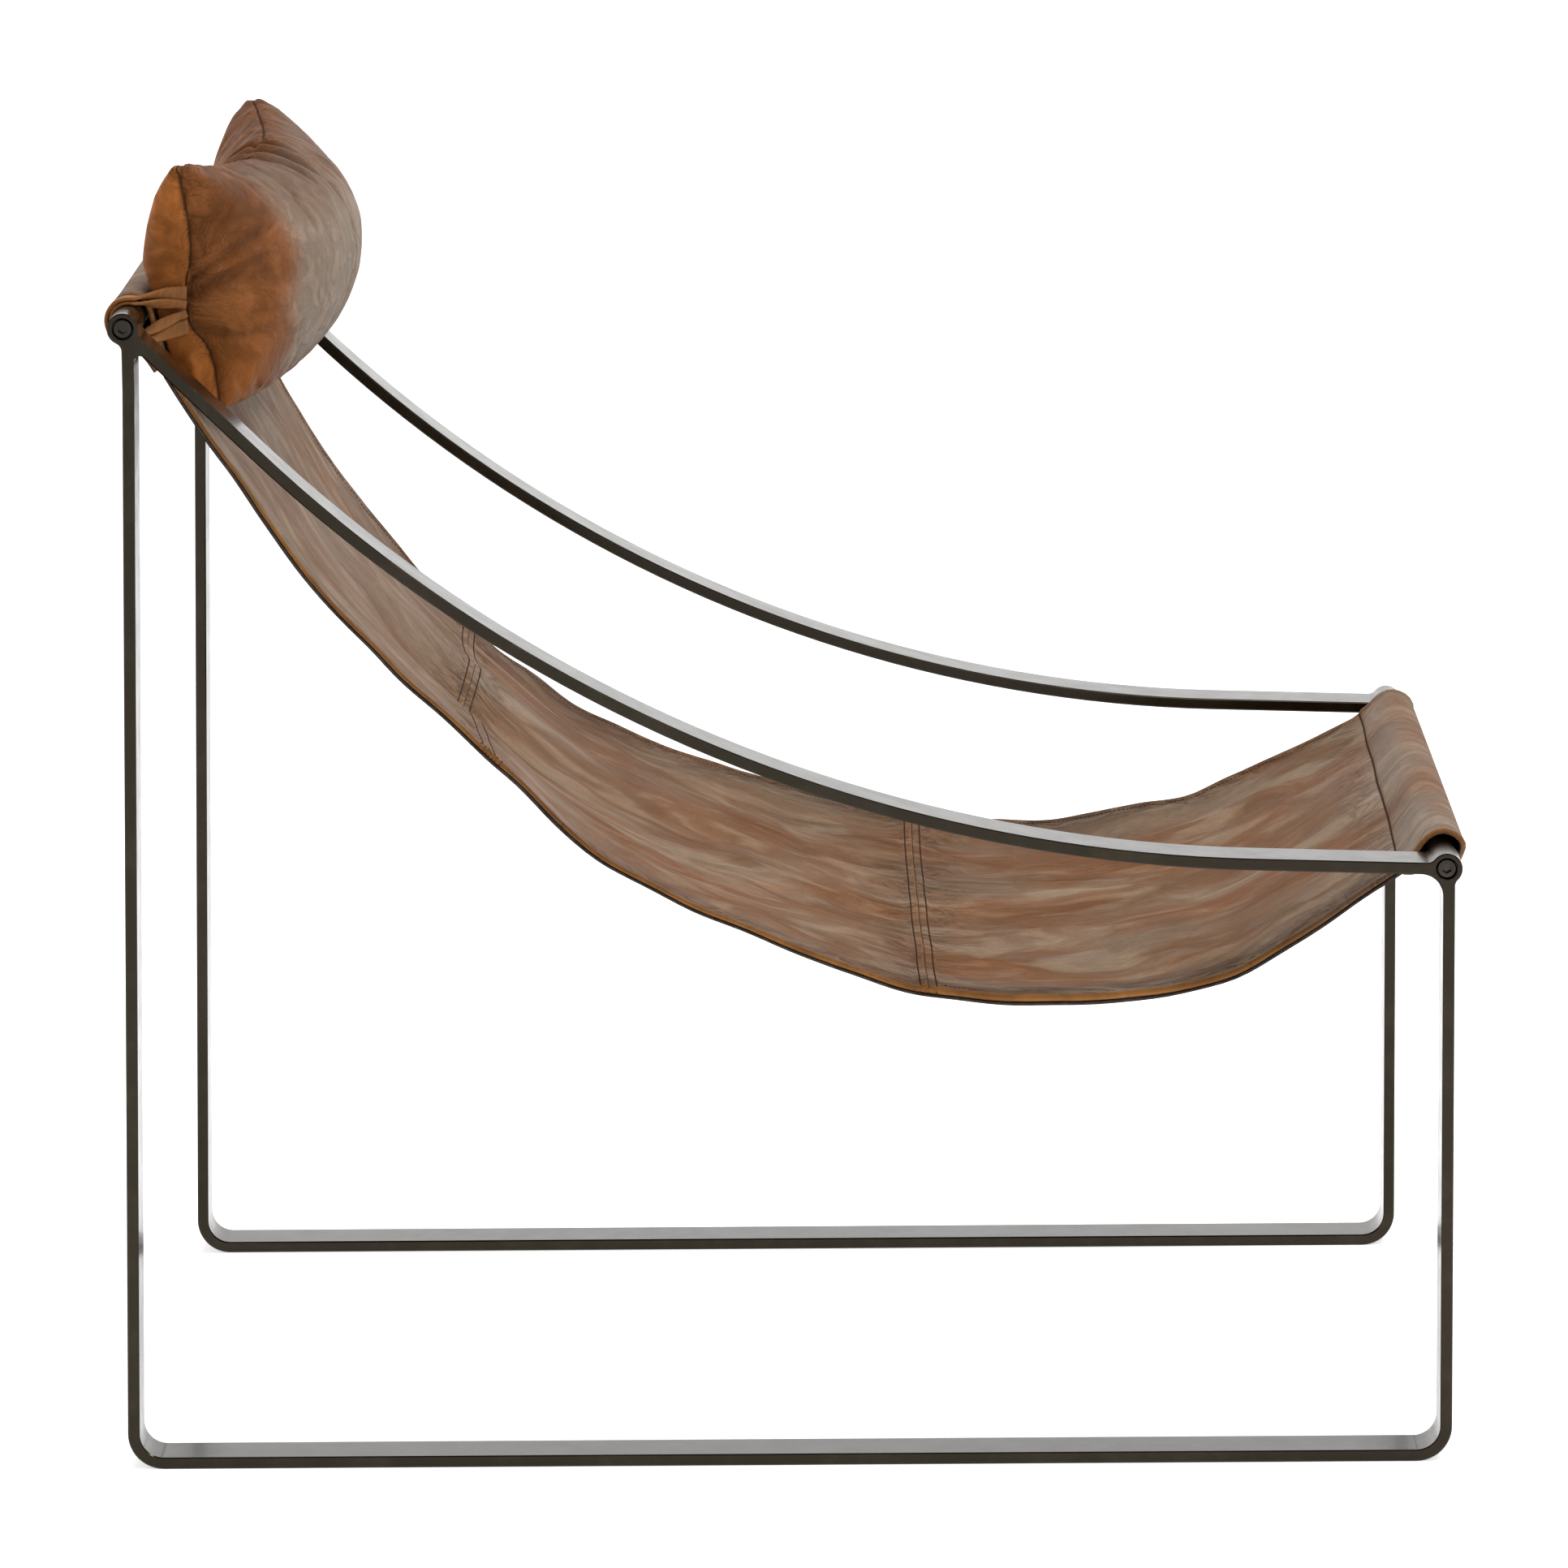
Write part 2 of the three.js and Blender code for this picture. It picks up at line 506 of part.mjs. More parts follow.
// One sewn half of the cover, open on its seam side.
function pillowCover(crown, side) {
  const rim = (side * SEAT_GAP) / 2;
  const outer = pillowFace(side * crown, rim, 0);
  const inner = pillowFace(side * (crown - PILLOW_LEATHER), rim, PILLOW_LEATHER);
  return sheet(outer, inner);
}

function pillowInsert() {
  const inset = PILLOW_LEATHER + INSERT_CLEARANCE;
  const rim = SEAT_GAP / 4;
  const front = pillowFace(PILLOW_FRONT - inset, rim, inset);
  const back = pillowFace(inset - PILLOW_BACK, -rim, inset);
  return sheet(front, back);
}

// A strap sewn to the end seam, looped round the head tube between the eye and the sleeve.
function strap(side) {
  const middle = (2 * -STRAP_DROP) / PILLOW_HEIGHT;
  const pitch = (2 * STRAP_PITCH) / PILLOW_HEIGHT;
  const end = (v) => pillowPoint(side, v, 0, 0, 0);
  const ends = [end(middle + pitch), end(middle - pitch)];
  const reach = pitch + STRAP_WIDTH / PILLOW_HEIGHT;
  const widest = Math.max(Math.abs(end(middle + reach).y), Math.abs(end(middle - reach).y));
  const endY = widest + STRAP_THICK / 2 + SEAT_GAP;
  const tubeY = EYE_INNER - STRAP_EYE_GAP - STRAP_WIDTH / 2;
  const radius = TUBE_RADIUS + SEAT_GAP + STRAP_THICK / 2;
  const flat = ends.map((p) => new THREE.Vector2(p.x, p.z));
  const over = tangentPoint(flat[0], HEAD, radius, 1);
  const under = tangentPoint(flat[1], HEAD, radius, -1);
  const from = over.clone().sub(HEAD).angle();
  const to = under.clone().sub(HEAD).angle();
  const path = new THREE.Path();
  path.absarc(HEAD.x, HEAD.y, radius, from, to, false);

  const steps = 8;
  const run = (a, b) => Array.from({ length: steps }, (_, i) => a.clone().lerp(b, i / steps));
  const route = [...run(flat[0], over), ...pathPoints(path, 8), ...run(flat[1], under).reverse()];
  const section = barSection(STRAP_WIDTH, STRAP_THICK, 1);
  const last = route.length - 1;
  const rings = withNormals(route).map(({ p, normal }, i) => {
    const onTube = THREE.MathUtils.smoothstep(Math.min(i, last - i) / steps, 0, 1);
    const turn = (Math.PI / 2) * (1 - onTube);
    const y = THREE.MathUtils.lerp(endY, tubeY, onTube);
    const outward = new THREE.Vector3(normal.x, 0, normal.y);
    const across = new THREE.Vector3(0, Math.cos(turn), 0).addScaledVector(outward, Math.sin(turn));
    const thick = new THREE.Vector3(0, -Math.sin(turn), 0).addScaledVector(outward, Math.cos(turn));
    return section.map(([t, w]) => {
      const point = new THREE.Vector3(p.x, y, p.y).addScaledVector(across, w).addScaledVector(thick, t);
      return point.setY(side * point.y);
    });
  });
  return loft(rings);
}

function addSide(name, side) {
  add(`${name}_leg_loop`, flatBar(legPath(), side * BAR_MIDDLE), METAL);
  add(`${name}_arm`, flatBar(armPath(), side * BAR_MIDDLE), METAL);
  add(`${name}_head_eye`, eye(HEAD, ARM_SLOPE, REAR_LEG_SHIFT, HEAD_CROTCH, 1, side), METAL);
  add(`${name}_knee_eye`, eye(KNEE, -DIP, -FRONT_LEG_SHIFT, KNEE_CROTCH, -1, side), METAL);
  for (const [corner, place] of [['head', HEAD], ['knee', KNEE]]) {
    add(`${name}_${corner}_screw`, screw(place, side), SCREW_STEEL);
    add(`${name}_${corner}_plug`, plug(place, side), PLUG_STEEL);
  }
  add(`${name}_pillow_strap`, strap(side), HIDE);
}

addSide('right', -1);
addSide('left', 1);
add('head_tube', crossTube(HEAD), METAL);
add('knee_tube', crossTube(KNEE), METAL);
addSling();
add('pillow_front_cover', pillowCover(PILLOW_FRONT, 1), HIDE);
add('pillow_back_cover', pillowCover(PILLOW_BACK, -1), HIDE);
add('pillow_insert', pillowInsert(), FILLING);

export default chair;
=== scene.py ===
# %% [markdown]
# # Dressing a sling lounge chair
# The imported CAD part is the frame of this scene: every tube, bar, eye and screw stays where the CAD put it.
# This script gives those pieces their metal, and it makes the soft pieces anew: the hide sling with its
# sleeves and seams, the stuffed head pillow, and the two straps that hold the pillow to the head tube. The
# soft pieces could stay as the solids that they are in the CAD part. Hide has sag, creases and seams that
# solids draw badly, so here they are meshes that follow the same line and stay inside the same box. Lengths
# inside the script are millimetres. They turn into metres where a mesh is made.

import math

import bpy
import numpy as np
from mathutils import Matrix, Vector
from mathutils.kdtree import KDTree


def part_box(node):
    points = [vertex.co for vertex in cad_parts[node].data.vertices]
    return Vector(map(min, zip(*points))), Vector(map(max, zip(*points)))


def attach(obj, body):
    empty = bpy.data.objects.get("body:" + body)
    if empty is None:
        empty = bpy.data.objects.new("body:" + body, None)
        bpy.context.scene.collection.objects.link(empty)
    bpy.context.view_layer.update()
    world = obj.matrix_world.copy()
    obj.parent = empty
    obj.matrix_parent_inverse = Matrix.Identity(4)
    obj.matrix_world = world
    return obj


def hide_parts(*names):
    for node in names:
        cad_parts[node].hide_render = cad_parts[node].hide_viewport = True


MM = 0.001
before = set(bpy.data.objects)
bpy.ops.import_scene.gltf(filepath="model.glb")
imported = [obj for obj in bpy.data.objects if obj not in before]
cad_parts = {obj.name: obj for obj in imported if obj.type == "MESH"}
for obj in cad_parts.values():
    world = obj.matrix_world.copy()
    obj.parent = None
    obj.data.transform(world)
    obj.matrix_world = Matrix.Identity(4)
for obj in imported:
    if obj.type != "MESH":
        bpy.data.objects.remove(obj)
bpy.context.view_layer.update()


def middle_of(node):
    low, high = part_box(node)
    return np.array((low + high) / 2) / MM


HEAD = middle_of("head_tube")
KNEE = middle_of("knee_tube")
EYE_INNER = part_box("left_head_eye")[0].y / MM
print("tubes at", HEAD.round(1), KNEE.round(1))

# %% [markdown]
# ## Camera
# The camera stands where the photograph was taken from: nearly six metres off the chair's right side, with
# a long lens that looks ten degrees down. A Track To constraint could aim it, but not with the small roll
# that the level bars show. So its matrix is built from three angles, as the camera's right, up and back.

# %% Camera
PICTURE_SIDE = 1932             # pixels
FOCAL_PIXELS = 10436.9
SENSOR_WIDTH = 36
CAMERA_PLACE = Vector((0.0486, -5.8602, 1.4862))
CAMERA_YAW = math.radians(-0.543)
CAMERA_PITCH = math.radians(10.443)
CAMERA_ROLL = math.radians(0.507)
FARTHEST = 100                  # metres, past which nothing is drawn


def add_camera():
    ahead = Vector((
        math.sin(CAMERA_YAW) * math.cos(CAMERA_PITCH),
        math.cos(CAMERA_YAW) * math.cos(CAMERA_PITCH),
        -math.sin(CAMERA_PITCH),
    ))
    level = Vector((math.cos(CAMERA_YAW), -math.sin(CAMERA_YAW), 0))
    down = ahead.cross(level)
    right = math.cos(CAMERA_ROLL) * level + math.sin(CAMERA_ROLL) * down
    up = math.sin(CAMERA_ROLL) * level - math.cos(CAMERA_ROLL) * down
    data = bpy.data.cameras.new("camera")
    data.sensor_width = SENSOR_WIDTH
    data.lens = SENSOR_WIDTH * FOCAL_PIXELS / PICTURE_SIDE
    data.clip_end = FARTHEST
    made = bpy.data.objects.new("camera", data)
    turn = Matrix((right, up, -ahead)).transposed()
    made.matrix_world = Matrix.Translation(CAMERA_PLACE) @ turn.to_4x4()
    bpy.context.scene.collection.objects.link(made)
    bpy.context.scene.camera = made
    return made


camera = add_camera()
print(f"camera {CAMERA_PLACE.length:.2f} m off, with a lens of {camera.data.lens:.0f} mm")

# %% [markdown]
# ## Nodes by name
# A finish can be drawn by hand in the node editor. In a script, a tree of thirty nodes gets long, with a
# line for each setting and each link. So one small helper adds a node, sets its settings and fills or links
# its inputs, and the helpers after it name the few steps that every finish here is made of.

# %% Node helpers


def add(tree, kind, inputs=None, **settings):
    made = tree.nodes.new(kind)
    for name, value in settings.items():
        setattr(made, name, value)
    for name, value in (inputs or {}).items():
        if isinstance(value, bpy.types.NodeSocket):
            tree.links.new(value, made.inputs[name])
        else:
            made.inputs[name].default_value = value
    return made


def new_group(name, kind, inputs, outputs):
    tree = bpy.data.node_groups.new(name, kind)
    for label, socket, value in inputs:
        made = tree.interface.new_socket(label, in_out="INPUT", socket_type=socket)
        if value is not None:
            made.default_value = value
    for label, socket in outputs:
        tree.interface.new_socket(label, in_out="OUTPUT", socket_type=socket)
    return tree, tree.nodes.new("NodeGroupInput").outputs, tree.nodes.new("NodeGroupOutput").inputs


def new_material(name):
    material = bpy.data.materials.new(name)
    material.use_nodes = True
    material.node_tree.nodes.clear()
    return material, material.node_tree


def noise(tree, place, stretch, detail=3, roughness=0.55, distortion=0):
    spread = add(tree, "ShaderNodeVectorMath", {0: place, 1: stretch}, operation="MULTIPLY")
    settings = {"Vector": spread.outputs[0], "Scale": 1, "Detail": detail, "Roughness": roughness,
                "Distortion": distortion}
    return add(tree, "ShaderNodeTexNoise", settings).outputs["Fac"]


def remap(tree, value, low, high, to_low=0.0, to_high=1.0):
    inputs = {"Value": value, 1: low, 2: high, 3: to_low, 4: to_high}
    return add(tree, "ShaderNodeMapRange", inputs, interpolation_type="SMOOTHSTEP").outputs[0]


def maths(tree, operation, a, b):
    return add(tree, "ShaderNodeMath", {0: a, 1: b}, operation=operation).outputs[0]


def mix_colour(tree, share, a, b):
    return add(tree, "ShaderNodeMix", {0: share, 6: a, 7: b}, data_type="RGBA").outputs[2]


def scaled(tree, colour, factor):
    return add(tree, "ShaderNodeVectorMath", {0: colour, "Scale": factor}, operation="SCALE").outputs[0]


def finish_material(tree, colour, roughness, height, bump, constants):
    """The shader itself; a height, where there is one, gives a relief of so many metres."""
    surface = {"Base Color": colour, "Roughness": roughness, **constants}
    shader = add(tree, "ShaderNodeBsdfPrincipled", surface)
    if height is not None:
        relief = add(tree, "ShaderNodeBump", {"Strength": 1.0, "Distance": bump, "Height": height})
        tree.links.new(relief.outputs[0], shader.inputs["Normal"])
    out = tree.nodes.new("ShaderNodeOutputMaterial")
    tree.links.new(shader.outputs[0], out.inputs["Surface"])


print("helpers for nodes, groups and materials are ready")

# %% [markdown]
# ## Floor and light
# The chair stands on a plain pale sweep in soft studio light. Walls and softboxes could be built round it,
# but they take long to render without noise. Here the world itself is the soft white surround: it is
# brightest overhead and behind the chair, and dimmer on the camera's side, so that the near faces of the
# bars stay dark. Two disk lamps add the shadow under the seat and the bright lines along the bars.

# %% Floor and light
FLOOR_SIDE = 40.0               # metres
FLOOR_WHITE = (0.95, 0.95, 0.95, 1)
FLOOR_ROUGHNESS = 0.9
FLOOR_GLOSS = 0.1
FLOOR_GLOW = 0.6                # the floor is a lit sweep
SURROUND_BRIGHT = 1.15
SURROUND_NEAR = 0.3             # what the near side gets of it
SURROUND_TOP = 0.6              # what the zenith gets of it
SURROUND_RIM = 1.2              # a brighter band over the horizon
SURROUND_TILT = 0.05            # how much brighter it is ahead of the chair, and dimmer behind it
NEAR_TO_FAR = (-0.9, 0.25)      # where a direction's y passes from the near side to the far one
LOW_TO_TOP = (0.2, 0.95)        # where its z passes to the zenith
BAND_FADE = (0.1, 0.35)         # where its z leaves the bright band
LAMPS = {                       # place, aim and size in metres, and power in watts
    "overhead": ((0.0, 0.7, 3.2), (0, 0, 0.4), 2.4, 48),
    "key": ((1.6, -1.6, 3.0), (-0.2, 0, 0.5), 0.8, 32),
}


def add_surround():
    world = bpy.data.worlds.new("surround")
    bpy.context.scene.world = world
    world.use_nodes = True
    tree = world.node_tree
    tree.nodes.clear()
    way = add(tree, "ShaderNodeTexCoord").outputs["Generated"]
    parts = add(tree, "ShaderNodeSeparateXYZ", {0: way}).outputs
    level = remap(tree, parts["Y"], *NEAR_TO_FAR, SURROUND_NEAR, 1.0)
    height = remap(tree, parts["Z"], *LOW_TO_TOP, SURROUND_BRIGHT, SURROUND_BRIGHT * SURROUND_TOP)
    rim = remap(tree, parts["Z"], *BAND_FADE, SURROUND_RIM, 1.0)
    tilt = remap(tree, parts["X"], -1, 1, 1 - SURROUND_TILT, 1 + SURROUND_TILT)
    around = maths(tree, "MULTIPLY", level, rim)
    strength = maths(tree, "MULTIPLY", around, maths(tree, "MULTIPLY", height, tilt))
    light = add(tree, "ShaderNodeBackground", {"Color": (1, 1, 1, 1), "Strength": strength})
    out = tree.nodes.new("ShaderNodeOutputWorld")
    tree.links.new(light.outputs[0], out.inputs["Surface"])


def add_lamp(name, place, aim, size, power):
    data = bpy.data.lights.new(name, "AREA")
    data.shape = "DISK"
    data.size = size
    data.energy = power
    lamp = bpy.data.objects.new(name, data)
    place = Vector(place)
    turn = (place - Vector(aim)).to_track_quat("Z", "Y")
    lamp.matrix_world = Matrix.Translation(place) @ turn.to_matrix().to_4x4()
    bpy.context.scene.collection.objects.link(lamp)


def add_floor():
    half = FLOOR_SIDE / 2
    corners = [(-half, -half, 0), (half, -half, 0), (half, half, 0), (-half, half, 0)]
    mesh = bpy.data.meshes.new("floor")
    mesh.from_pydata(corners, [], [(0, 1, 2, 3)])
    floor = bpy.data.objects.new("floor", mesh)
    bpy.context.scene.collection.objects.link(floor)
    material, tree = new_material("floor_white")
    glow = {"Specular IOR Level": FLOOR_GLOSS, "Emission Color": (1, 1, 1, 1),
            "Emission Strength": FLOOR_GLOW}
    finish_material(tree, FLOOR_WHITE, FLOOR_ROUGHNESS, None, 0, glow)
    mesh.materials.append(material)


add_surround()
add_floor()
for lamp_name, lamp_values in LAMPS.items():
    add_lamp(lamp_name, *lamp_values)
bpy.context.scene.view_settings.view_transform = "Standard"
print("floor of", FLOOR_SIDE, "m, a surround and lamps:", ", ".join(LAMPS))

# %% [markdown]
# ## Metal
# The bars are dark waxed steel: almost black from the side, and bright where they are seen at a flat angle.
# Painted maps could hold the patina, but then every bar would have to be unwrapped. A noise on the piece's
# own coordinates has no seams. It is a node group, because three metals share it with their own colours: a
# slow cloud shifts the colour and the gloss, and a fine one gives the brushed relief.

# %% Metal
CLOUD_SCALE = (38, 38, 38)      # waves to a metre
BRUSH_SCALE = (260, 420, 260)
BRUSH_RELIEF = 0.00003          # metres
WAX = {"Metallic": 1.0, "Coat Weight": 0.12, "Coat Roughness": 0.06}


def patina_group():
    inputs = [
        ("Place", "NodeSocketVector", None),
        ("Dark", "NodeSocketColor", (0.028, 0.026, 0.022, 1)),
        ("Worn", "NodeSocketColor", (0.06, 0.055, 0.042, 1)),
        ("Gloss", "NodeSocketFloat", 0.3),
    ]
    outputs = [("Color", "NodeSocketColor"), ("Roughness", "NodeSocketFloat"), ("Height", "NodeSocketFloat")]
    tree, given, made = new_group("patina", "ShaderNodeTree", inputs, outputs)
    cloud = noise(tree, given["Place"], CLOUD_SCALE, 5, 0.6)
    brushed = noise(tree, given["Place"], BRUSH_SCALE, 2, 0.5)
    worn = remap(tree, cloud, 0.42, 0.72)
    colour = mix_colour(tree, worn, given["Dark"], given["Worn"])
    rough = maths(tree, "ADD", given["Gloss"], remap(tree, cloud, 0.3, 0.7, -0.02, 0.05))
    tree.links.new(colour, made["Color"])
    tree.links.new(rough, made["Roughness"])
    tree.links.new(brushed, made["Height"])
    return tree


PATINA = patina_group()


def metal(name, dark, worn, gloss, constants):
    material, tree = new_material(name)
    place = add(tree, "ShaderNodeTexCoord").outputs["Object"]
    inputs = {"Place": place, "Dark": dark, "Worn": worn, "Gloss": gloss}
    patina = add(tree, "ShaderNodeGroup", inputs, node_tree=PATINA).outputs
    finish_material(tree, patina["Color"], patina["Roughness"], patina["Height"], BRUSH_RELIEF, constants)
    return material


FRAME_METAL = metal("frame_metal", (0.026, 0.0208, 0.0138, 1), (0.035, 0.0285, 0.0195, 1), 0.2, WAX)
SCREW_METAL = metal("screw_steel", (0.03, 0.025, 0.021, 1), (0.048, 0.041, 0.035, 1), 0.12, WAX)
PLUG_METAL = metal("plug_steel", (0.3, 0.3, 0.3, 1), (0.42, 0.42, 0.41, 1), 0.35, {"Metallic": 1.0})
print("metals:", FRAME_METAL.name, SCREW_METAL.name, PLUG_METAL.name)

# %% [markdown]
# ## Smooth rounds
# The bends, eyes and tubes are true rounds on the chair, and the CAD part has them as flat facets. Shading
# a whole bar smooth would blur its sharp edges as well. A small geometry tree joins the loose triangles and
# smooths only where two faces meet at a small angle. As a modifier it leaves the mesh under it as it is.

# %% Smooth rounds
ROUND_ANGLE = math.radians(28)  # faces that meet at less belong to a round
JOIN_WITHIN = 1e-6              # metres


def smooth_rounds():
    inputs = [("Geometry", "NodeSocketGeometry", None), ("Angle", "NodeSocketFloat", ROUND_ANGLE)]
    outputs = [("Geometry", "NodeSocketGeometry")]
    tree, given, made = new_group("smooth_rounds", "GeometryNodeTree", inputs, outputs)
    loose = {"Geometry": given["Geometry"], "Distance": JOIN_WITHIN}
    merged = add(tree, "GeometryNodeMergeByDistance", loose)
    angle = add(tree, "GeometryNodeInputMeshEdgeAngle").outputs["Unsigned Angle"]
    compared = {0: angle, 1: given["Angle"]}
    sharp = add(tree, "FunctionNodeCompare", compared, operation="GREATER_THAN").outputs[0]
    whole = {"Geometry": merged.outputs[0], "Shade Smooth": True}
    faces = add(tree, "GeometryNodeSetShadeSmooth", whole, domain="FACE")
    edges = {"Geometry": faces.outputs[0], "Selection": sharp, "Shade Smooth": False}
    done = add(tree, "GeometryNodeSetShadeSmooth", edges, domain="EDGE")
    tree.links.new(done.outputs[0], made["Geometry"])
    return tree


def dress_metal():
    rounds = smooth_rounds()
    names = []
    for name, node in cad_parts.items():
        if "screw" in name:
            material = SCREW_METAL
        elif "plug" in name:
            material = PLUG_METAL
        elif name.endswith(("leg_loop", "arm", "eye", "tube")):
            material = FRAME_METAL
        else:
            continue
        node.data.materials.clear()
        node.data.materials.append(material)
        node.modifiers.new("smooth_rounds", "NODES").node_group = rounds
        names.append(name)
    return names


dressed = dress_metal()
print("metal on", len(dressed), "pieces")

# %% [markdown]
# ## Layers of a finish
# Hide is a pile of uneven layers, and three small helpers make them from plain noise. The first bends the
# place that is looked up, so that no streak runs dead straight. The second turns a noise into broad rounds
# with narrow valleys, as creases are. The third adds up a few layers, each with its share.

# %% Layers


def bent(tree, place, scale, amount):
    """The place, moved about by a slow noise."""
    wander = add(tree, "ShaderNodeTexNoise", {"Vector": place, "Scale": scale, "Detail": 2}).outputs["Color"]
    centred = {0: wander, 1: (0.5, 0.5, 0.5)}
    off = add(tree, "ShaderNodeVectorMath", centred, operation="SUBTRACT").outputs[0]
    move = scaled(tree, off, amount)
    return add(tree, "ShaderNodeVectorMath", {0: place, 1: move}, operation="ADD").outputs[0]


def billow(tree, value, reach):
    """0 in narrow valleys and 1 on the broad rounds between them."""
    off = maths(tree, "ABSOLUTE", maths(tree, "SUBTRACT", value, 0.5), 0)
    inputs = {"Value": off, 1: 0.0, 2: reach}
    return add(tree, "ShaderNodeMapRange", inputs, interpolation_type="SMOOTHERSTEP").outputs[0]


def blend(tree, *shares):
    """The sum of a few values, each with its share."""
    total = 0.0
    for value, share in shares:
        total = maths(tree, "ADD", total, maths(tree, "MULTIPLY", value, share))
    return total


print("helpers for layered finishes are ready")

# %% [markdown]
# ## Hide
# The sling and the pillow are thick waxed hide: warm brown, with paler and greyer streaks where it was
# pulled, creases where it is gathered, and tan edges. A scanned hide could be wrapped on, but its
# pattern would repeat and show where its borders meet. Layered noises in one node group give every piece
# its own hide. The streaks run along the piece: "Place" holds the distance across the streaks, the distance
# along them and a third one. Four more values are kept at the points of the mesh: the tan of the edges,
# with painted highlight and painted light in places; the dark seam lines with painted shade; the share of
# painted sheen; and how much the hide is crumpled. The valleys of the folds and the creases are darkened
# in colour, which is painted shade.

# %% Hide group
# near black: the colour of the dark seam lines, and of painted shade
GROOVE_AND_SHADE_COLOUR = (0.02, 0.009, 0.005, 1)


def hide_group():
    inputs = [
        ("Place", "NodeSocketVector", None),
        ("Warm", "NodeSocketColor", (0.2, 0.08, 0.03, 1)),
        ("Pale", "NodeSocketColor", (0.25, 0.17, 0.11, 1)),
        # the colour of the creases, their painted shade
        ("Dark", "NodeSocketColor", (0.1, 0.045, 0.02, 1)),
        # the tan of the edges, with painted highlight and painted light in places
        ("Edge", "NodeSocketFloat", 0.0),
        ("Edge Colour", "NodeSocketColor", (0.3, 0.12, 0.03, 1)),
        ("Paleness", "NodeSocketFloat", 0.5),
        # dark seam lines, and painted shade
        ("Groove_And_Shade", "NodeSocketFloat", 0.0),
        # the share of painted sheen
        ("Worn", "NodeSocketFloat", 0.0),
        ("Crumple", "NodeSocketFloat", 0.0),
        ("Mottle", "NodeSocketFloat", 0.2),
        # the grey of painted sheen and of flecks of wax
        ("Sheen_And_Bloom", "NodeSocketColor", (0.27, 0.19, 0.14, 1)),
    ]
    outputs = [("Color", "NodeSocketColor"), ("Roughness", "NodeSocketFloat"), ("Height", "NodeSocketFloat")]
    tree, given, made = new_group("hide", "ShaderNodeTree", inputs, outputs)
    place = bent(tree, given["Place"], 6, 0.16)
    # A noise has its waves to a metre across, along and through, then its detail, roughness and distortion.
    streaks = noise(tree, place, (36, 12, 30), 6, 0.66, 0.5)
    blotches = noise(tree, place, (12, 6.5, 12), 5, 0.52, 0.7)
    patches = noise(tree, place, (6, 3.2, 6), 5, 0.52, 0.6)
    clouds = noise(tree, place, (17, 9, 17), 4, 0.6, 0.8)
    fibres = noise(tree, place, (300, 130, 260), 3, 0.65, 0.8)
    folds = billow(tree, noise(tree, place, (22, 10, 20), 2, 0.5, 0.4), 0.2)
    creases = billow(tree, noise(tree, place, (85, 22, 60), 3, 0.55, 0.8), 0.07)
    flecks = remap(tree, noise(tree, place, (520, 40, 420), 3, 0.6, 0.6), 0.58, 0.7)
    grain = add(tree, "ShaderNodeTexVoronoi", {"Vector": place, "Scale": 850}).outputs["Distance"]
    gathered = maths(tree, "ADD", remap(tree, patches, 0.45, 0.65, 0, 0.15), given["Crumple"])
    crease = maths(tree, "MULTIPLY", maths(tree, "SUBTRACT", 1, creases), gathered)
    # The colour starts warm, pales in blotches, greys with painted sheen and with flecks of wax, darkens in
    # clouds, and takes painted shade in the valleys of the folds and in the creases.
    pale = blend(tree, (blotches, 0.35), (streaks, 0.09), (patches, 0.48), (folds, 0.08))
    pale = maths(tree, "MULTIPLY", remap(tree, pale, 0.37, 0.63), given["Paleness"])
    colour = mix_colour(tree, pale, given["Warm"], given["Pale"])
    waxed = maths(tree, "MULTIPLY", flecks, remap(tree, clouds, 0.4, 0.6))
    # painted sheen where the mesh asks for it, and flecks of wax all over
    sheen_and_bloom = blend(tree, (given["Worn"], 1.0), (waxed, 0.5))
    colour = mix_colour(tree, sheen_and_bloom, colour, given["Sheen_And_Bloom"])
    calm = remap(tree, given["Worn"], 0, 1, 1, 0.35)
    mottle = maths(tree, "MULTIPLY", given["Mottle"], calm)
    shade = maths(tree, "MULTIPLY", remap(tree, clouds, 0.3, 0.7, -1, 0.8), mottle)
    # darker in the valleys of the folds and lighter on their rounds: painted shade and light
    tone = maths(tree, "MULTIPLY", maths(tree, "ADD", shade, 1), remap(tree, folds, 0, 1, 0.86, 1.06))
    colour = scaled(tree, colour, maths(tree, "MULTIPLY", tone, remap(tree, fibres, 0.3, 0.7, 0.88, 1.1)))
    # the creases darken towards Dark: painted shade in them
    colour = mix_colour(tree, maths(tree, "MULTIPLY", crease, 0.5), colour, given["Dark"])
    streaked = maths(tree, "MULTIPLY", tone, remap(tree, streaks, 0.35, 0.65, 0.74, 1.12))
    edge = scaled(tree, given["Edge Colour"], streaked)
    colour = mix_colour(tree, given["Edge"], colour, edge)
    # the dark seam lines, and painted shade, are mixed in at full strength
    colour = mix_colour(tree, given["Groove_And_Shade"], colour, GROOVE_AND_SHADE_COLOUR)
    rough = remap(tree, streaks, 0.3, 0.7, 0.62, 0.5)
    height = blend(tree, (folds, 1.1), (streaks, 0.3), (fibres, 0.18), (grain, 0.08), (crease, -0.7))
    tree.links.new(colour, made["Color"])
    tree.links.new(rough, made["Roughness"])
    tree.links.new(height, made["Height"])
    return tree


HIDE = hide_group()
print("hide group of", len(HIDE.nodes), "nodes")

# %% [markdown]
# ## The hides of this chair
# Sling, pillow and straps were cut from the same kind of hide and wore differently. Each could have a tree
# of its own. With the shared group, a look is only a few colours and amounts. The sling reads the flat
# places of its UV map, so that its streaks follow the sag. The pillow and the straps read the chair's own
# axes.

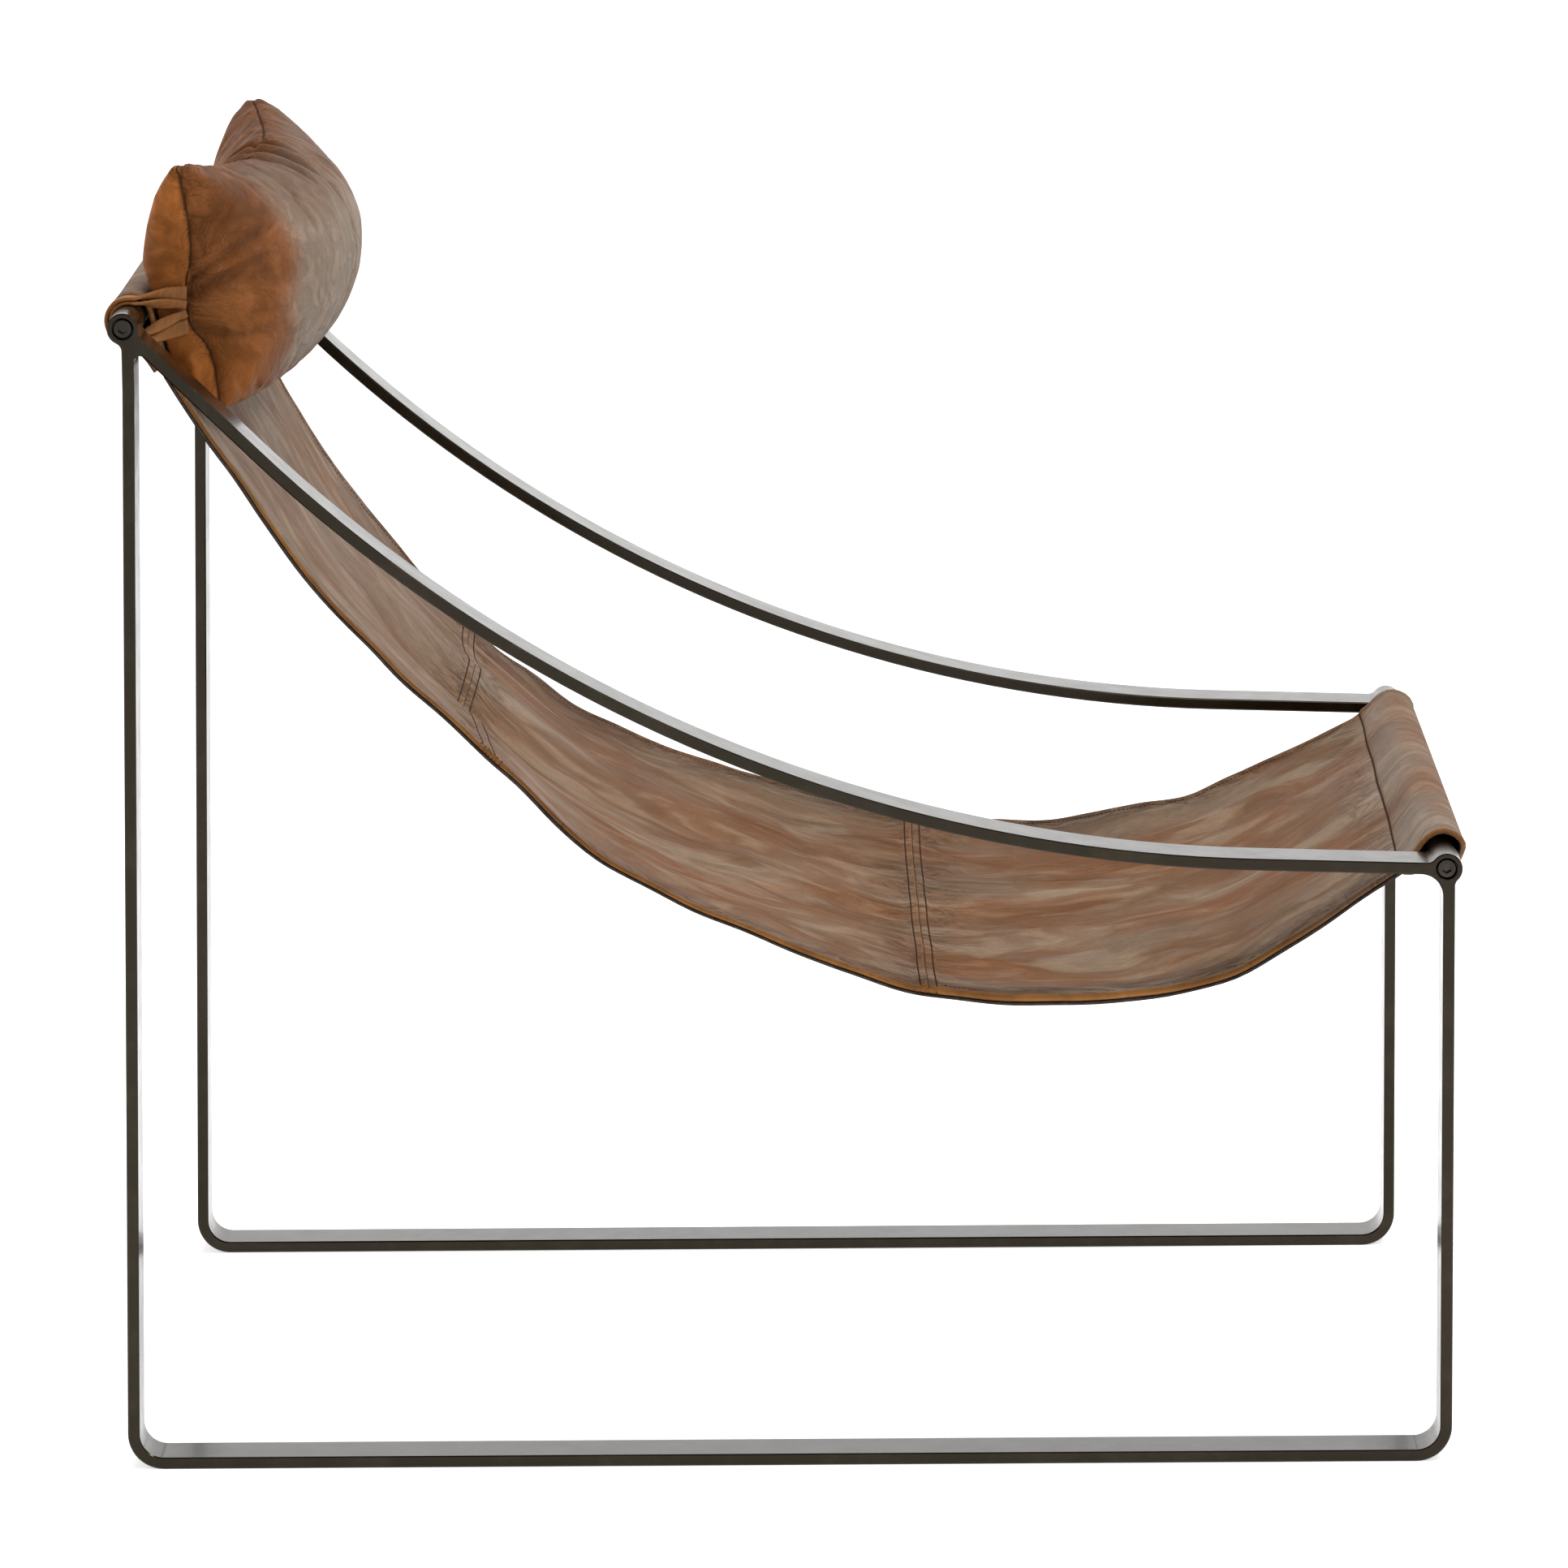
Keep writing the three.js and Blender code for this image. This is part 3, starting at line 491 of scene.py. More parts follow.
# %% Hides
SLING_LOOK = {
    "Warm": (0.18, 0.061, 0.012, 1),
    "Pale": (0.23, 0.156, 0.096, 1),
    "Dark": (0.05, 0.024, 0.012, 1),
    "Edge Colour": (0.29, 0.125, 0.038, 1),
    # the grey of painted sheen and of flecks of wax
    "Sheen_And_Bloom": (0.255, 0.192, 0.145, 1),
    "Paleness": 1.0,
    "Mottle": 0.18,
}
PILLOW_LOOK = {
    "Warm": (0.2, 0.064, 0.0145, 1),
    "Pale": (0.24, 0.115, 0.05, 1),
    "Dark": (0.05, 0.018, 0.006, 1),
    # the tan of the edges, and of the painted light on the back panel's near end
    "Edge Colour": (0.335, 0.11, 0.023, 1),
    # the grey of painted sheen and of flecks of wax
    "Sheen_And_Bloom": (0.222, 0.17, 0.124, 1),
    "Paleness": 0.15,
    "Mottle": 0.24,
}
STRAP_LOOK = {
    "Warm": (0.26, 0.1, 0.026, 1),
    "Pale": (0.3, 0.135, 0.05, 1),
    "Dark": (0.1, 0.04, 0.014, 1),
    "Edge Colour": (0.3, 0.12, 0.035, 1),
    "Sheen_And_Bloom": (0.3, 0.135, 0.05, 1),
    "Paleness": 0.4,
    "Mottle": 0.2,
}


def hide(name, look, relief, gloss, fine=None):
    """Hide on the sling's flat places, or with a fineness on the chair's own axes."""
    material, tree = new_material(name)
    if fine is None:
        place = add(tree, "ShaderNodeUVMap", uv_map="flat").outputs[0]
    else:
        own = add(tree, "ShaderNodeTexCoord").outputs["Object"]
        parts = add(tree, "ShaderNodeSeparateXYZ", {0: own}).outputs
        swapped = add(tree, "ShaderNodeCombineXYZ", {0: parts["Y"], 1: parts["Z"], 2: parts["X"]}).outputs[0]
        place = add(tree, "ShaderNodeVectorMath", {0: swapped, 1: fine}, operation="MULTIPLY").outputs[0]
    inputs = {"Place": place, **look}
    for label in ("Edge", "Groove_And_Shade", "Worn", "Crumple"):
        layer = add(tree, "ShaderNodeAttribute", attribute_name=label.lower())
        inputs[label] = layer.outputs["Fac"]
    made = add(tree, "ShaderNodeGroup", inputs, node_tree=HIDE).outputs
    shine = {"Specular IOR Level": gloss}
    finish_material(tree, made["Color"], made["Roughness"], made["Height"], relief, shine)
    return material


DULL = 0.05                     # gloss of the lining and of the thread


def plain(name, colour, roughness, stretch, relief):
    material, tree = new_material(name)
    place = add(tree, "ShaderNodeTexCoord").outputs["Object"]
    cloud = noise(tree, place, stretch, 4, 0.6)
    shade = scaled(tree, colour, remap(tree, cloud, 0.3, 0.7, 0.65, 1.3))
    finish_material(tree, shade, roughness, cloud, relief, {"Specular IOR Level": DULL})
    return material


SLING_HIDE = hide("sling_hide", SLING_LOOK, relief=0.001, gloss=0.03)
PILLOW_HIDE = hide("pillow_hide", PILLOW_LOOK, relief=0.0007, gloss=0.07, fine=(1.3, 3.0, 1.5))
STRAP_HIDE = hide("strap_hide", STRAP_LOOK, relief=0.0002, gloss=0.15, fine=(1, 1, 1))
LINING_HIDE = plain("lining_hide", (0.062, 0.046, 0.036), roughness=0.75, stretch=(160,) * 3, relief=0.0003)
THREAD = plain("thread", (0.055, 0.023, 0.01), roughness=0.9, stretch=(900,) * 3, relief=0.0001)
SOFT_FINISHES = (SLING_HIDE, PILLOW_HIDE, STRAP_HIDE, LINING_HIDE, THREAD)
print("soft finishes:", ", ".join(finish.name for finish in SOFT_FINISHES))

# %% [markdown]
# ## Meshes from rings
# Sling, lining and straps are all strips: a closed section that runs along a path. Curves with a bevel
# could draw them, but a bevel keeps one section, and here it changes all the way. So each strip is a stack
# of rings of points, and one helper joins the rings with quads and closes both ends. The others keep values
# at the points and the flat places of a sheet, for the materials.

# %% Mesh helpers


def mesh_object(name, points, faces, material):
    mesh = bpy.data.meshes.new(name)
    mesh.from_pydata((np.asarray(points).reshape(-1, 3) * MM).tolist(), [], faces)
    mesh.update()
    mesh.polygons.foreach_set("use_smooth", [True] * len(mesh.polygons))
    mesh.materials.append(material)
    made = bpy.data.objects.new(name, mesh)
    bpy.context.scene.collection.objects.link(made)
    return made


def ring_faces(rings, count):
    here = np.arange(count)
    after = (here + 1) % count
    base = np.arange(rings - 1)[:, None] * count
    quads = np.stack([base + here, base + count + here, base + count + after, base + after], axis=-1)
    last = (rings - 1) * count
    return quads.reshape(-1, 4).tolist() + [list(range(count)), list(range(last + count - 1, last - 1, -1))]


def set_values(made, name, values):
    layer = made.data.attributes.new(name, "FLOAT", "POINT")
    layer.data.foreach_set("value", np.asarray(values, np.float32).ravel())


def set_flat(made, across, along):
    layer = made.data.uv_layers.new(name="flat")
    corner = np.zeros(len(made.data.loops), np.int32)
    made.data.loops.foreach_get("vertex_index", corner)
    flat = np.stack([np.ravel(across), np.ravel(along)], axis=-1) * MM
    layer.data.foreach_set("uv", flat[corner].astype(np.float32).ravel())


print("two rings of four points make", len(ring_faces(2, 4)), "faces")

# %% [markdown]
# ## Curves and soft steps
# The forms of the hide are worked out in numbers: curves through a few points, places at a length along a
# line, a bump, a soft step, and a slow random height. The built-in noise could give that height, but a
# script asks it for one point at a time. A fixed lattice of random numbers, smoothed between its nodes,
# serves a whole array at once and is the same at every run.

# %% Curve helpers
CURVE_FINE = 12                 # points to each stretch of a smooth curve
LATTICE = 64


def handle_curve(a, b, c, d, count):
    """A curve from a to d that leaves towards the handle b and arrives from the handle c."""
    t = np.linspace(0, 1, count)[:, None]
    return a * (1 - t) ** 3 + 3 * b * t * (1 - t) ** 2 + 3 * c * t * t * (1 - t) + d * t ** 3


def smooth_through(points):
    points = np.asarray(points, float)
    ends = np.vstack([2 * points[0] - points[1], points, 2 * points[-1] - points[-2]])
    t = np.linspace(0, 1, CURVE_FINE, endpoint=False)[:, None]
    made = []
    for a, b, c, d in zip(ends, ends[1:], ends[2:], ends[3:]):
        slope = (c - a) / 2
        bend = a - 2.5 * b + 2 * c - d / 2
        twist = 1.5 * (b - c) + (d - a) / 2
        made.append(b + slope * t + bend * t ** 2 + twist * t ** 3)
    return np.vstack([*made, points[-1:]])


def value_at(points, x):
    """The height of a smooth curve through a few (x, height) points."""
    curve = smooth_through(points)
    return np.interp(x, curve[:, 0], curve[:, 1])


def lengths(line):
    return np.concatenate([[0], np.cumsum(np.linalg.norm(np.diff(line, axis=0), axis=1))])


def at_lengths(line, places):
    along = lengths(line)
    return np.stack([np.interp(places, along, line[:, k]) for k in range(line.shape[1])], axis=-1)


def bump_at(distance, width):
    return np.exp(-((distance / width) ** 2))


def step(value, low, high):
    t = np.clip((value - low) / (high - low), 0, 1)
    return t * t * (3 - 2 * t)


def drift(x, y, seed):
    """A slow random height between -1 and 1."""
    lattice = np.random.default_rng(seed).uniform(-1, 1, (LATTICE, LATTICE))
    x, y = np.broadcast_arrays(x, y)
    left = np.floor(x).astype(int)
    low = np.floor(y).astype(int)
    fx = step(x - left, 0, 1)
    fy = step(y - low, 0, 1)

    def value(i, j):
        return lattice[(left + i) % LATTICE, (low + j) % LATTICE]

    near = value(0, 0) * (1 - fx) + value(1, 0) * fx
    far = value(0, 1) * (1 - fx) + value(1, 1) * fx
    return near * (1 - fy) + far * fy


print("a random height:", drift(np.array([0.5]), 0.5, 3).round(3))

# %% [markdown]
# ## The line of the sling
# Seen from the side, the sling is one line: up from its hem behind the head tube, over the tube, down the
# back, through the low of the seat, up to the knee tube, round it, and back to the other hem. It could be
# drawn as one curve by hand. Here the tubes give its ends, two curves with handles give the back and the
# seat, and a few points round each tube give the sleeves, so that it follows the frame. The line is the
# hide's outer face, and the lining lies under it.

# %% Sling line
LEATHER = 3.5
BACK_PITCH = math.radians(57.8)
KNEE_PITCH = math.radians(31.3)
SEAT_LOW = np.array([KNEE[0] - 255, 315.0])
BACK_SEAM = np.array([-220.3, 479.2])
SEAT_SEAM = np.array([91.3, 327.1])
HEAD_SLEEVE = 44                # from a tube to the stitches of its sleeve, and how far off its axis they are
HEAD_OFFSET = -2.5
KNEE_SLEEVE = 24.5
KNEE_OFFSET = 6.6
BACK_HANDLE = 69                # stiffness of the curve at its four ends
LOW_REAR_HANDLE = 391
LOW_FRONT_HANDLE = 98
KNEE_HANDLE = 86
BACK_POINTS = 120
SEAT_POINTS = 80
STITCH_LEAD = 4                 # a sleeve leaves its stitches in the line of the sling
HEAD_SLEEVE_LINE = [(15, -38), (8.5, -28.5), (-1, -19.5), (-10.8, -10), (-14, 1), (-10.5, 10.5), (-3, 14.5),
                    (5.5, 13.8), (11, 9), (14.5, -1.5), (18.7, -16.5)]
KNEE_SLEEVE_LINE = [(-18.6, 4.4), (-10.6, 13.2), (-1.3, 17.6), (7, 16.2), (13, 12), (15.8, 6.5), (15.4, -0.5),
                    (12.2, -7.5), (6, -12), (-3, -13.6), (-13, -14.4), (-22, -15.8), (-30, -14)]


def sling_line():
    way = np.array([math.cos(BACK_PITCH), -math.sin(BACK_PITCH)])
    rise = np.array([math.cos(KNEE_PITCH), math.sin(KNEE_PITCH)])
    head = HEAD[[0, 2]]
    knee = KNEE[[0, 2]]
    outward = np.array([-way[1], way[0]])
    upward = np.array([-rise[1], rise[0]])
    top = head + HEAD_SLEEVE * way + (HEAD_OFFSET + LEATHER) * outward
    lip = knee - KNEE_SLEEVE * rise + (KNEE_OFFSET + LEATHER) * upward
    low = SEAT_LOW + (0, LEATHER)
    back = handle_curve(top, top + BACK_HANDLE * way, low - (LOW_REAR_HANDLE, 0), low, BACK_POINTS)
    seat = handle_curve(low, low + (LOW_FRONT_HANDLE, 0), lip - KNEE_HANDLE * rise, lip, SEAT_POINTS)
    rear = smooth_through(np.vstack([head + HEAD_SLEEVE_LINE, top, top + STITCH_LEAD * way]))
    front = smooth_through(np.vstack([lip - STITCH_LEAD * rise, lip, knee + KNEE_SLEEVE_LINE]))
    line = np.vstack([rear[:-CURVE_FINE - 1], back, seat[1:], front[CURVE_FINE + 1:]])
    return line, top, lip


LINE, TOP_STITCH, LIP_STITCH = sling_line()


def length_at(point):
    return lengths(LINE)[np.argmin(np.linalg.norm(LINE - point, axis=1))]


LINE_LENGTH = lengths(LINE)[-1]
TOP_AT = length_at(TOP_STITCH)
LIP_AT = length_at(LIP_STITCH)
BACK_SEAM_AT = length_at(BACK_SEAM)
SEAT_SEAM_AT = length_at(SEAT_SEAM)
CROSS_SEAMS = (BACK_SEAM_AT, SEAT_SEAM_AT)
print(f"sling line {LINE_LENGTH:.0f} mm, stitched at {TOP_AT:.0f} and {LIP_AT:.0f}")
print(f"cross seams at {BACK_SEAM_AT:.0f} and {SEAT_SEAM_AT:.0f}")

# %% [markdown]
# ## Places along and across the sling
# The mesh of the sling is a row of stations along its line, each with a section across the hide. Even steps
# could do, but a raised seam is only a few millimetres wide. So the stations stand close at the seams and
# further apart in the open, which keeps the mesh light. Across, the sling fills the space between the eyes,
# and it is narrower at the head, where the pillow's straps go round the tube beside it.

# %% Sling places
STATION_STEP = 4.5
CLOSE_STEP = 0.8
CLOSE_REACH = {BACK_SEAM_AT: 26, SEAT_SEAM_AT: 14, LIP_AT: 8}
HEAD_HALF_WIDTH = EYE_INNER - 29
KNEE_HALF_WIDTH = EYE_INNER - 9
SLEEVE_SHORT = (14, 12)         # the knee sleeve ends short of the eyes: its right hem, and its left end
SHORT_FROM = (52, 4)            # how far past its stitches each starts
SHORT_OVER = 14
SEAM_SLANT = {BACK_SEAM_AT: -15, SEAT_SEAM_AT: -6, LIP_AT: 4}
SEAM_WAVER = 1.6
LOOK_PAST = 1.5                 # how far to both sides a slope is taken


def stations():
    close = [seam + past for seam, far in CLOSE_REACH.items() for past in np.arange(-far, far, CLOSE_STEP)]
    even = np.arange(0, LINE_LENGTH, STATION_STEP)
    clear = [p for p in even if all(abs(p - seam) > far + 1 for seam, far in CLOSE_REACH.items())]
    return np.sort(np.concatenate([clear, close, [LINE_LENGTH]]))


STATIONS = stations()


def line_at(places):
    """Points on the line, and the way that the outer face looks there."""
    point = at_lengths(LINE, places)
    way = at_lengths(LINE, places + LOOK_PAST) - at_lengths(LINE, places - LOOK_PAST)
    way /= np.linalg.norm(way, axis=-1, keepdims=True)
    return point, np.stack([-way[..., 1], way[..., 0]], axis=-1)


def half_width(x):
    share = np.clip((x - TOP_STITCH[0]) / (LIP_STITCH[0] - TOP_STITCH[0]), 0, 1)
    return HEAD_HALF_WIDTH + (KNEE_HALF_WIDTH - HEAD_HALF_WIDTH) * share


def sleeve_short(places, side):
    """How much narrower the knee sleeve is than its sling, at the right (-1) or at the left (1)."""
    right, left = SHORT_FROM
    start = np.where(side < 0, LIP_AT + right, LIP_AT + left)
    return np.where(side < 0, *SLEEVE_SHORT) * step(places, start, start + SHORT_OVER)


def seam_shift(place, v):
    """How far a cross seam runs from its place, at v across."""
    return SEAM_SLANT.get(place, 0) * v + SEAM_WAVER * drift(v * 4 + place, 0.3, 9)


print(len(STATIONS), f"stations; half width {HEAD_HALF_WIDTH:.0f} to {KNEE_HALF_WIDTH:.0f} mm")

# %% [markdown]
# ## How the sling hangs
# The hide sags between its edges, and it hangs a little askew: on the back its right edge stands higher
# than its left, and on the seat lower. Soft folds run down its length. A cloth simulation could drape it,
# but a worn sling keeps the shape that its use gave it, and this one's edges can be followed. So how far
# the sheet stands off its line is worked out from the two edges, a sag, slow random folds and the dent at
# the upper seam.

# %% Sling hang
SLING_SAG = 7
LONG_FOLDS = 2.6
SHORT_FOLDS = 1.3
RIM_WAVER = 1.9
BACK_DENT = 13                  # depth of the dent at the upper cross seam
BACK_RIDGE = 4                  # height of the ridge on its left
DENT_REACH = 115
RIGHT_EDGE = [(-412, -2), (-359, 3), (-317, 4), (-275, 9), (-232, 12), (-189, 9), (-146, 1), (-103, -1),
              (-28, 0), (59, -6), (102, -9), (167, -8), (254, -9), (297, -11), (340, -7), (383, -3),
              (405, -2)]
LEFT_EDGE = [(-412, -1), (-373, -4), (-321, -9), (-188, -12.5), (-118, -6), (-50, 2.5), (-15, 6), (120, 6.5),
             (180, 9), (241, 12.5), (288, 8.5), (336, 6), (384, 1.5), (408, -1)]


def sling_lift(places, x, v):
    """How far the sheet stands off its line; v runs from -1 at the right edge to 1 at the left."""
    free = np.sin(np.pi * np.clip((places - TOP_AT) / (LIP_AT - TOP_AT), 0, 1))
    spanned = step(places, TOP_AT - 30, TOP_AT + 20) * step(places, LIP_AT + 25, LIP_AT - 10)
    edges = (value_at(RIGHT_EDGE, x) * (1 - v) + value_at(LEFT_EDGE, x) * (1 + v)) / 2
    folds = LONG_FOLDS * drift(v * 2.6 + 20, places / 210, 3)
    folds = folds + SHORT_FOLDS * drift(v * 6 + 7, places / 120, 4)
    rim = RIM_WAVER * np.abs(v) ** 8 * drift(places / 36, np.sign(v) + 3.5, 5)
    off = places - BACK_SEAM_AT
    slant = off / 1500
    crease = BACK_RIDGE * bump_at(v - 0.3 - slant, 0.16) - BACK_DENT * bump_at(v + 0.14 - slant, 0.2)
    inside = (folds * (1 - v ** 4) + rim) * step(free, 0, 0.35) + crease * bump_at(off, DENT_REACH)
    return edges * spanned - SLING_SAG * (1 - v * v) * free + inside


def sling_point(places, y, depth):
    """Points at lengths along the sling, y across it and depth under its outer face."""
    point, normal = line_at(places)
    half = half_width(point[..., 0])
    lift = sling_lift(places, point[..., 0], np.clip(y / half, -1, 1))
    x = point[..., 0] + normal[..., 0] * (lift - depth)
    z = point[..., 1] + normal[..., 1] * (lift - depth)
    return np.stack(np.broadcast_arrays(x, y, z), axis=-1)


print("middle of the seat seam at", sling_point(np.array([SEAT_SEAM_AT]), np.zeros(1), 0.0)[0].round(1))

# %% [markdown]
# ## Seams and turned edges
# At a cross seam two panels meet: their allowances are folded under and stitched down on both sides, which
# gathers the hide beside them. Along its sides the hide is turned and thinner, and in the sleeves it is
# thinner still. A bump in the material could feign these steps of a millimetre, but they show on the
# outline. So they are heights and depths of the mesh itself.

# %% Sling relief
SEAM_STITCH = 5.5               # from a cross seam to the stitches on both its sides
EDGE_STITCH = 8                 # from a long edge to its stitches
ALLOWANCE = 0.9                 # height of the folded hide at a cross seam
SEAM_DIP = 0.8
STITCH_DIP = 0.5
SEAM_FOLD = 1.5                 # from the middle of a cross seam to the crest of its fold
FOLD_CREST = 0.9
WIDE_GATHERS = 1.6
FINE_GATHERS = 0.9
TURNED_EDGE = 0.7
EDGE_RIPPLE = 0.9
SLEEVE_DIP = 0.9
SLEEVE_LEATHER = 2.3
TUBE_RADIUS = 10.6
SLEEVE_GAP = 0.7                # between the knee sleeve and its tube
SLEEVE_THICKEST = 3.1
EDGE_THICKNESS = [(-412, 1.7), (-240, 1.9), (-60, 2.3), (60, 3.2), (130, 4.2), (250, 4.0), (340, 3.0),
                  (405, 2.6)]


def sling_relief(places, y, half):
    """Small steps of the outer face: the raised seam allowances, their grooves and the turned edges."""
    height = np.zeros(np.broadcast(places, y).shape)
    v = y / half
    for seam in CROSS_SEAMS:
        past = places - seam - seam_shift(seam, v)
        off = np.abs(past)
        height = height + ALLOWANCE * step(off, 8.2, 6.4) - SEAM_DIP * bump_at(off, 0.7)
        height = height - STITCH_DIP * bump_at(off - SEAM_STITCH, 0.9)
        height = height + FOLD_CREST * bump_at(past + SEAM_FOLD, 0.9)
        gathers = WIDE_GATHERS * drift(y / 8, places / 70, 6)
        gathers = gathers + FINE_GATHERS * drift(y / 4.5 + 9, places / 40, 7)
        height = height + gathers * step(off, 6, 10) * bump_at(off, 36)
    from_edge = half - np.abs(y)
    height = height + TURNED_EDGE * step(from_edge, EDGE_STITCH, 5.5)
    height = height - STITCH_DIP * bump_at(from_edge - EDGE_STITCH, 1.2)
    height = height + EDGE_RIPPLE * drift(places / 9, y / 30, 8) * bump_at(from_edge - 15, 9)
    for stitch in (TOP_AT, LIP_AT):
        height = height - SLEEVE_DIP * bump_at(places - stitch - seam_shift(stitch, v), 1.8)
    return height


def hide_thickness(places, x, from_edge):
    """Thin in the sleeves; at the turned long edges it follows its own few points."""
    in_sleeve = np.maximum(step(places, TOP_AT - 5, TOP_AT - 30), step(places, LIP_AT + 2, LIP_AT + 16))
    room = np.linalg.norm(at_lengths(LINE, places) - KNEE[[0, 2]], axis=-1) - TUBE_RADIUS - SLEEVE_GAP
    sleeve = np.where(places > LIP_AT, np.clip(room, SLEEVE_LEATHER, SLEEVE_THICKEST), SLEEVE_LEATHER)
    middle = LEATHER * (1 - in_sleeve) + sleeve * in_sleeve
    edge = value_at(EDGE_THICKNESS, x) * (1 - in_sleeve) + sleeve * in_sleeve
    return middle + (edge - middle) * step(from_edge, 18, 6)


seat_seam_edge = value_at(EDGE_THICKNESS, SEAT_SEAM[0])
print(f"the turned edge is {seat_seam_edge:.1f} mm thick at the seat seam")

# %% [markdown]
# ## Marks of use, and painted light and shade
# The hide is dark in its seams, tan on its folds and edges, and crumpled where it is gathered. Painted
# shade darkens it towards its left edge, along its right edge on the seat and behind the knees, and at its
# hem, and it dims the tan of the turned edge at the hem and near and under the knee tube. Painted sheen
# greys it, most on the back and on the knee sleeve, and the crest of the fold beside a cross seam carries a
# painted highlight. Such marks could be brushed on in Texture Paint. Here each is a value from 0 to 1 that
# is worked out for every point of the mesh, so it moves with the seam or the edge that it belongs to.

# %% Sling marks
# how strongly painted sheen greys the hide, at lengths along the sling
SHEEN_ALONG = [(0, 0.3), (TOP_AT, 0.4), (BACK_SEAM_AT - 60, 0.45), (BACK_SEAM_AT + 60, 0.35), (650, 0.15),
         (SEAT_SEAM_AT, 0.12), (LIP_AT - 90, 0.12), (LIP_AT - 20, 0.3), (LIP_AT + 18, 0.8),
         (LIP_AT + 60, 0.3), (1400, 0.3)]


def sling_groove(places, y, half):
    """The dark lines of the sleeves' seams."""
    dark = np.zeros(np.broadcast(places, y).shape)
    for seam in (TOP_AT, LIP_AT):
        dark = np.maximum(dark, bump_at(places - seam - seam_shift(seam, y / half), 0.8))
    return dark


def sling_fold(places, y, half):
    """The tan fold beside a cross seam, with a painted highlight on its crest."""
    folds = [places - seam - seam_shift(seam, y / half) + SEAM_FOLD for seam in CROSS_SEAMS]
    return np.maximum(*[bump_at(fold, 0.8) for fold in folds])


def sling_crumple(places, from_edge):
    """Gathered hide, beside the seams and the long edges: more creases, and more painted shade in them."""
    near = bump_at(from_edge - 14, 16)
    for seam in (TOP_AT, BACK_SEAM_AT, SEAT_SEAM_AT, LIP_AT):
        near = np.maximum(near, bump_at(places - seam, 32))
    return near * (1 - 0.75 * step(places, LIP_AT - 12, LIP_AT + 4))


def painted_edge_shade(places):
    """Painted shade that dims the tan edge: at the rear hem, ahead of the knee seam and under the knee tube.
    """
    ahead = step(places, LIP_AT - 110, LIP_AT - 40) * step(places, LIP_AT + 6, LIP_AT)
    under = 0.15 * step(places, LIP_AT, LIP_AT + 6) + 0.85 * step(places, LIP_AT + 52, LIP_AT + 60)
    return np.maximum(np.maximum(step(places, 55, 40), ahead), under)


def sling_painted_shade(places, v):
    """Painted shade: towards the hide's left edge, along its right edge on the seat and behind the knees,
    and at its hem.
    """
    left = step(v, 0.25, 0.95) * step(places, TOP_AT + 150, TOP_AT + 260)
    left = left * step(places, LIP_AT - 120, LIP_AT - 220)
    right = step(v, -0.55, -0.95) * step(places, LIP_AT - 200, LIP_AT - 90)
    right = right * step(places, LIP_AT + 5, LIP_AT - 5)
    right_band = bump_at(v + 0.93, 0.06) * step(places, SEAT_SEAM_AT - 120, SEAT_SEAM_AT + 40)
    right_band = right_band * step(places, LIP_AT, LIP_AT - 60)
    patches = 1 + 0.6 * drift(v * 5 + 3, places / 60, 15)
    rear_hem = 0.7 * step(places, 48, 34)
    return np.clip(patches * (0.26 * left + 0.3 * right + 0.25 * right_band) + rear_hem, 0, 1)


def sling_sheen(places, y):
    """Painted sheen that greys the hide: much of it on the back and on the knee sleeve, in patches."""
    patches = drift(y / 60 + 12, places / 95, 13) + 0.6 * drift(y / 22 + 5, places / 50, 14)
    return np.clip(value_at(SHEEN_ALONG, places) * (1 + 0.7 * patches), 0, 1)


print(f"mean bloom along the middle: {sling_sheen(STATIONS, 0.0).mean():.2f}")

# %% [markdown]
# ## Sling pieces
# The hide and its lining are two sheets, sewn together at their edges. Each could be an open surface with a
# Solidify modifier, but that gives square edges of one thickness. Closed sections with their own round
# edges can be thin at the rim and carry the relief on one face only. The dark lining shows as a thin strip
# under the hide's burnished edge.

# %% Sling pieces
EDGE_STEPS = [0, 0.8, 1.8, 3, 4.4, 6, 8, 11]
UNDER_POINTS = 40
ROUND_POINTS = 6
LINING = 2.0
LINING_CLEAR = 0.05
LINING_GAP = 0.4                # the lining stands off the turned edge
SLING_SPACING = 4.4             # between the points of a section
LINING_SPACING = 14
SLING_WAVER = 1.4               # how unevenly the edges are cut
LINING_WAVER = 1.2
BURNISHED = (2.4, 0.8)          # from the edge: where the burnish starts, and where it is full
LINED_PAST = (8, 2)             # how far the lining goes past the stitches at the head and at the knees


def sheet_section(mean_half, spacing):
    """A closed section: places across from -1 to 1, steps round the edges, and shares of the depth."""
    rim = 1 - np.array(EDGE_STEPS) / mean_half
    inside = np.linspace(-rim[-1], rim[-1], int(2 * mean_half / spacing))
    over = np.concatenate([-rim, inside[1:-1], rim[::-1]])
    under = np.linspace(1, -1, UNDER_POINTS)
    turn = np.linspace(0, np.pi, ROUND_POINTS + 2)[1:-1]
    flat_over = np.zeros(len(over))
    v = np.concatenate([over, np.ones(ROUND_POINTS), under, -np.ones(ROUND_POINTS)])
    out = np.concatenate([flat_over, np.sin(turn), np.zeros(UNDER_POINTS), -np.sin(turn)])
    deep = np.concatenate([flat_over, (1 - np.cos(turn)) / 2, np.ones(UNDER_POINTS), (1 + np.cos(turn)) / 2])
    return v, out, deep


def lining_thickness(places):
    return LINING + 0.5 * drift(places / 55, 2.5, 12)


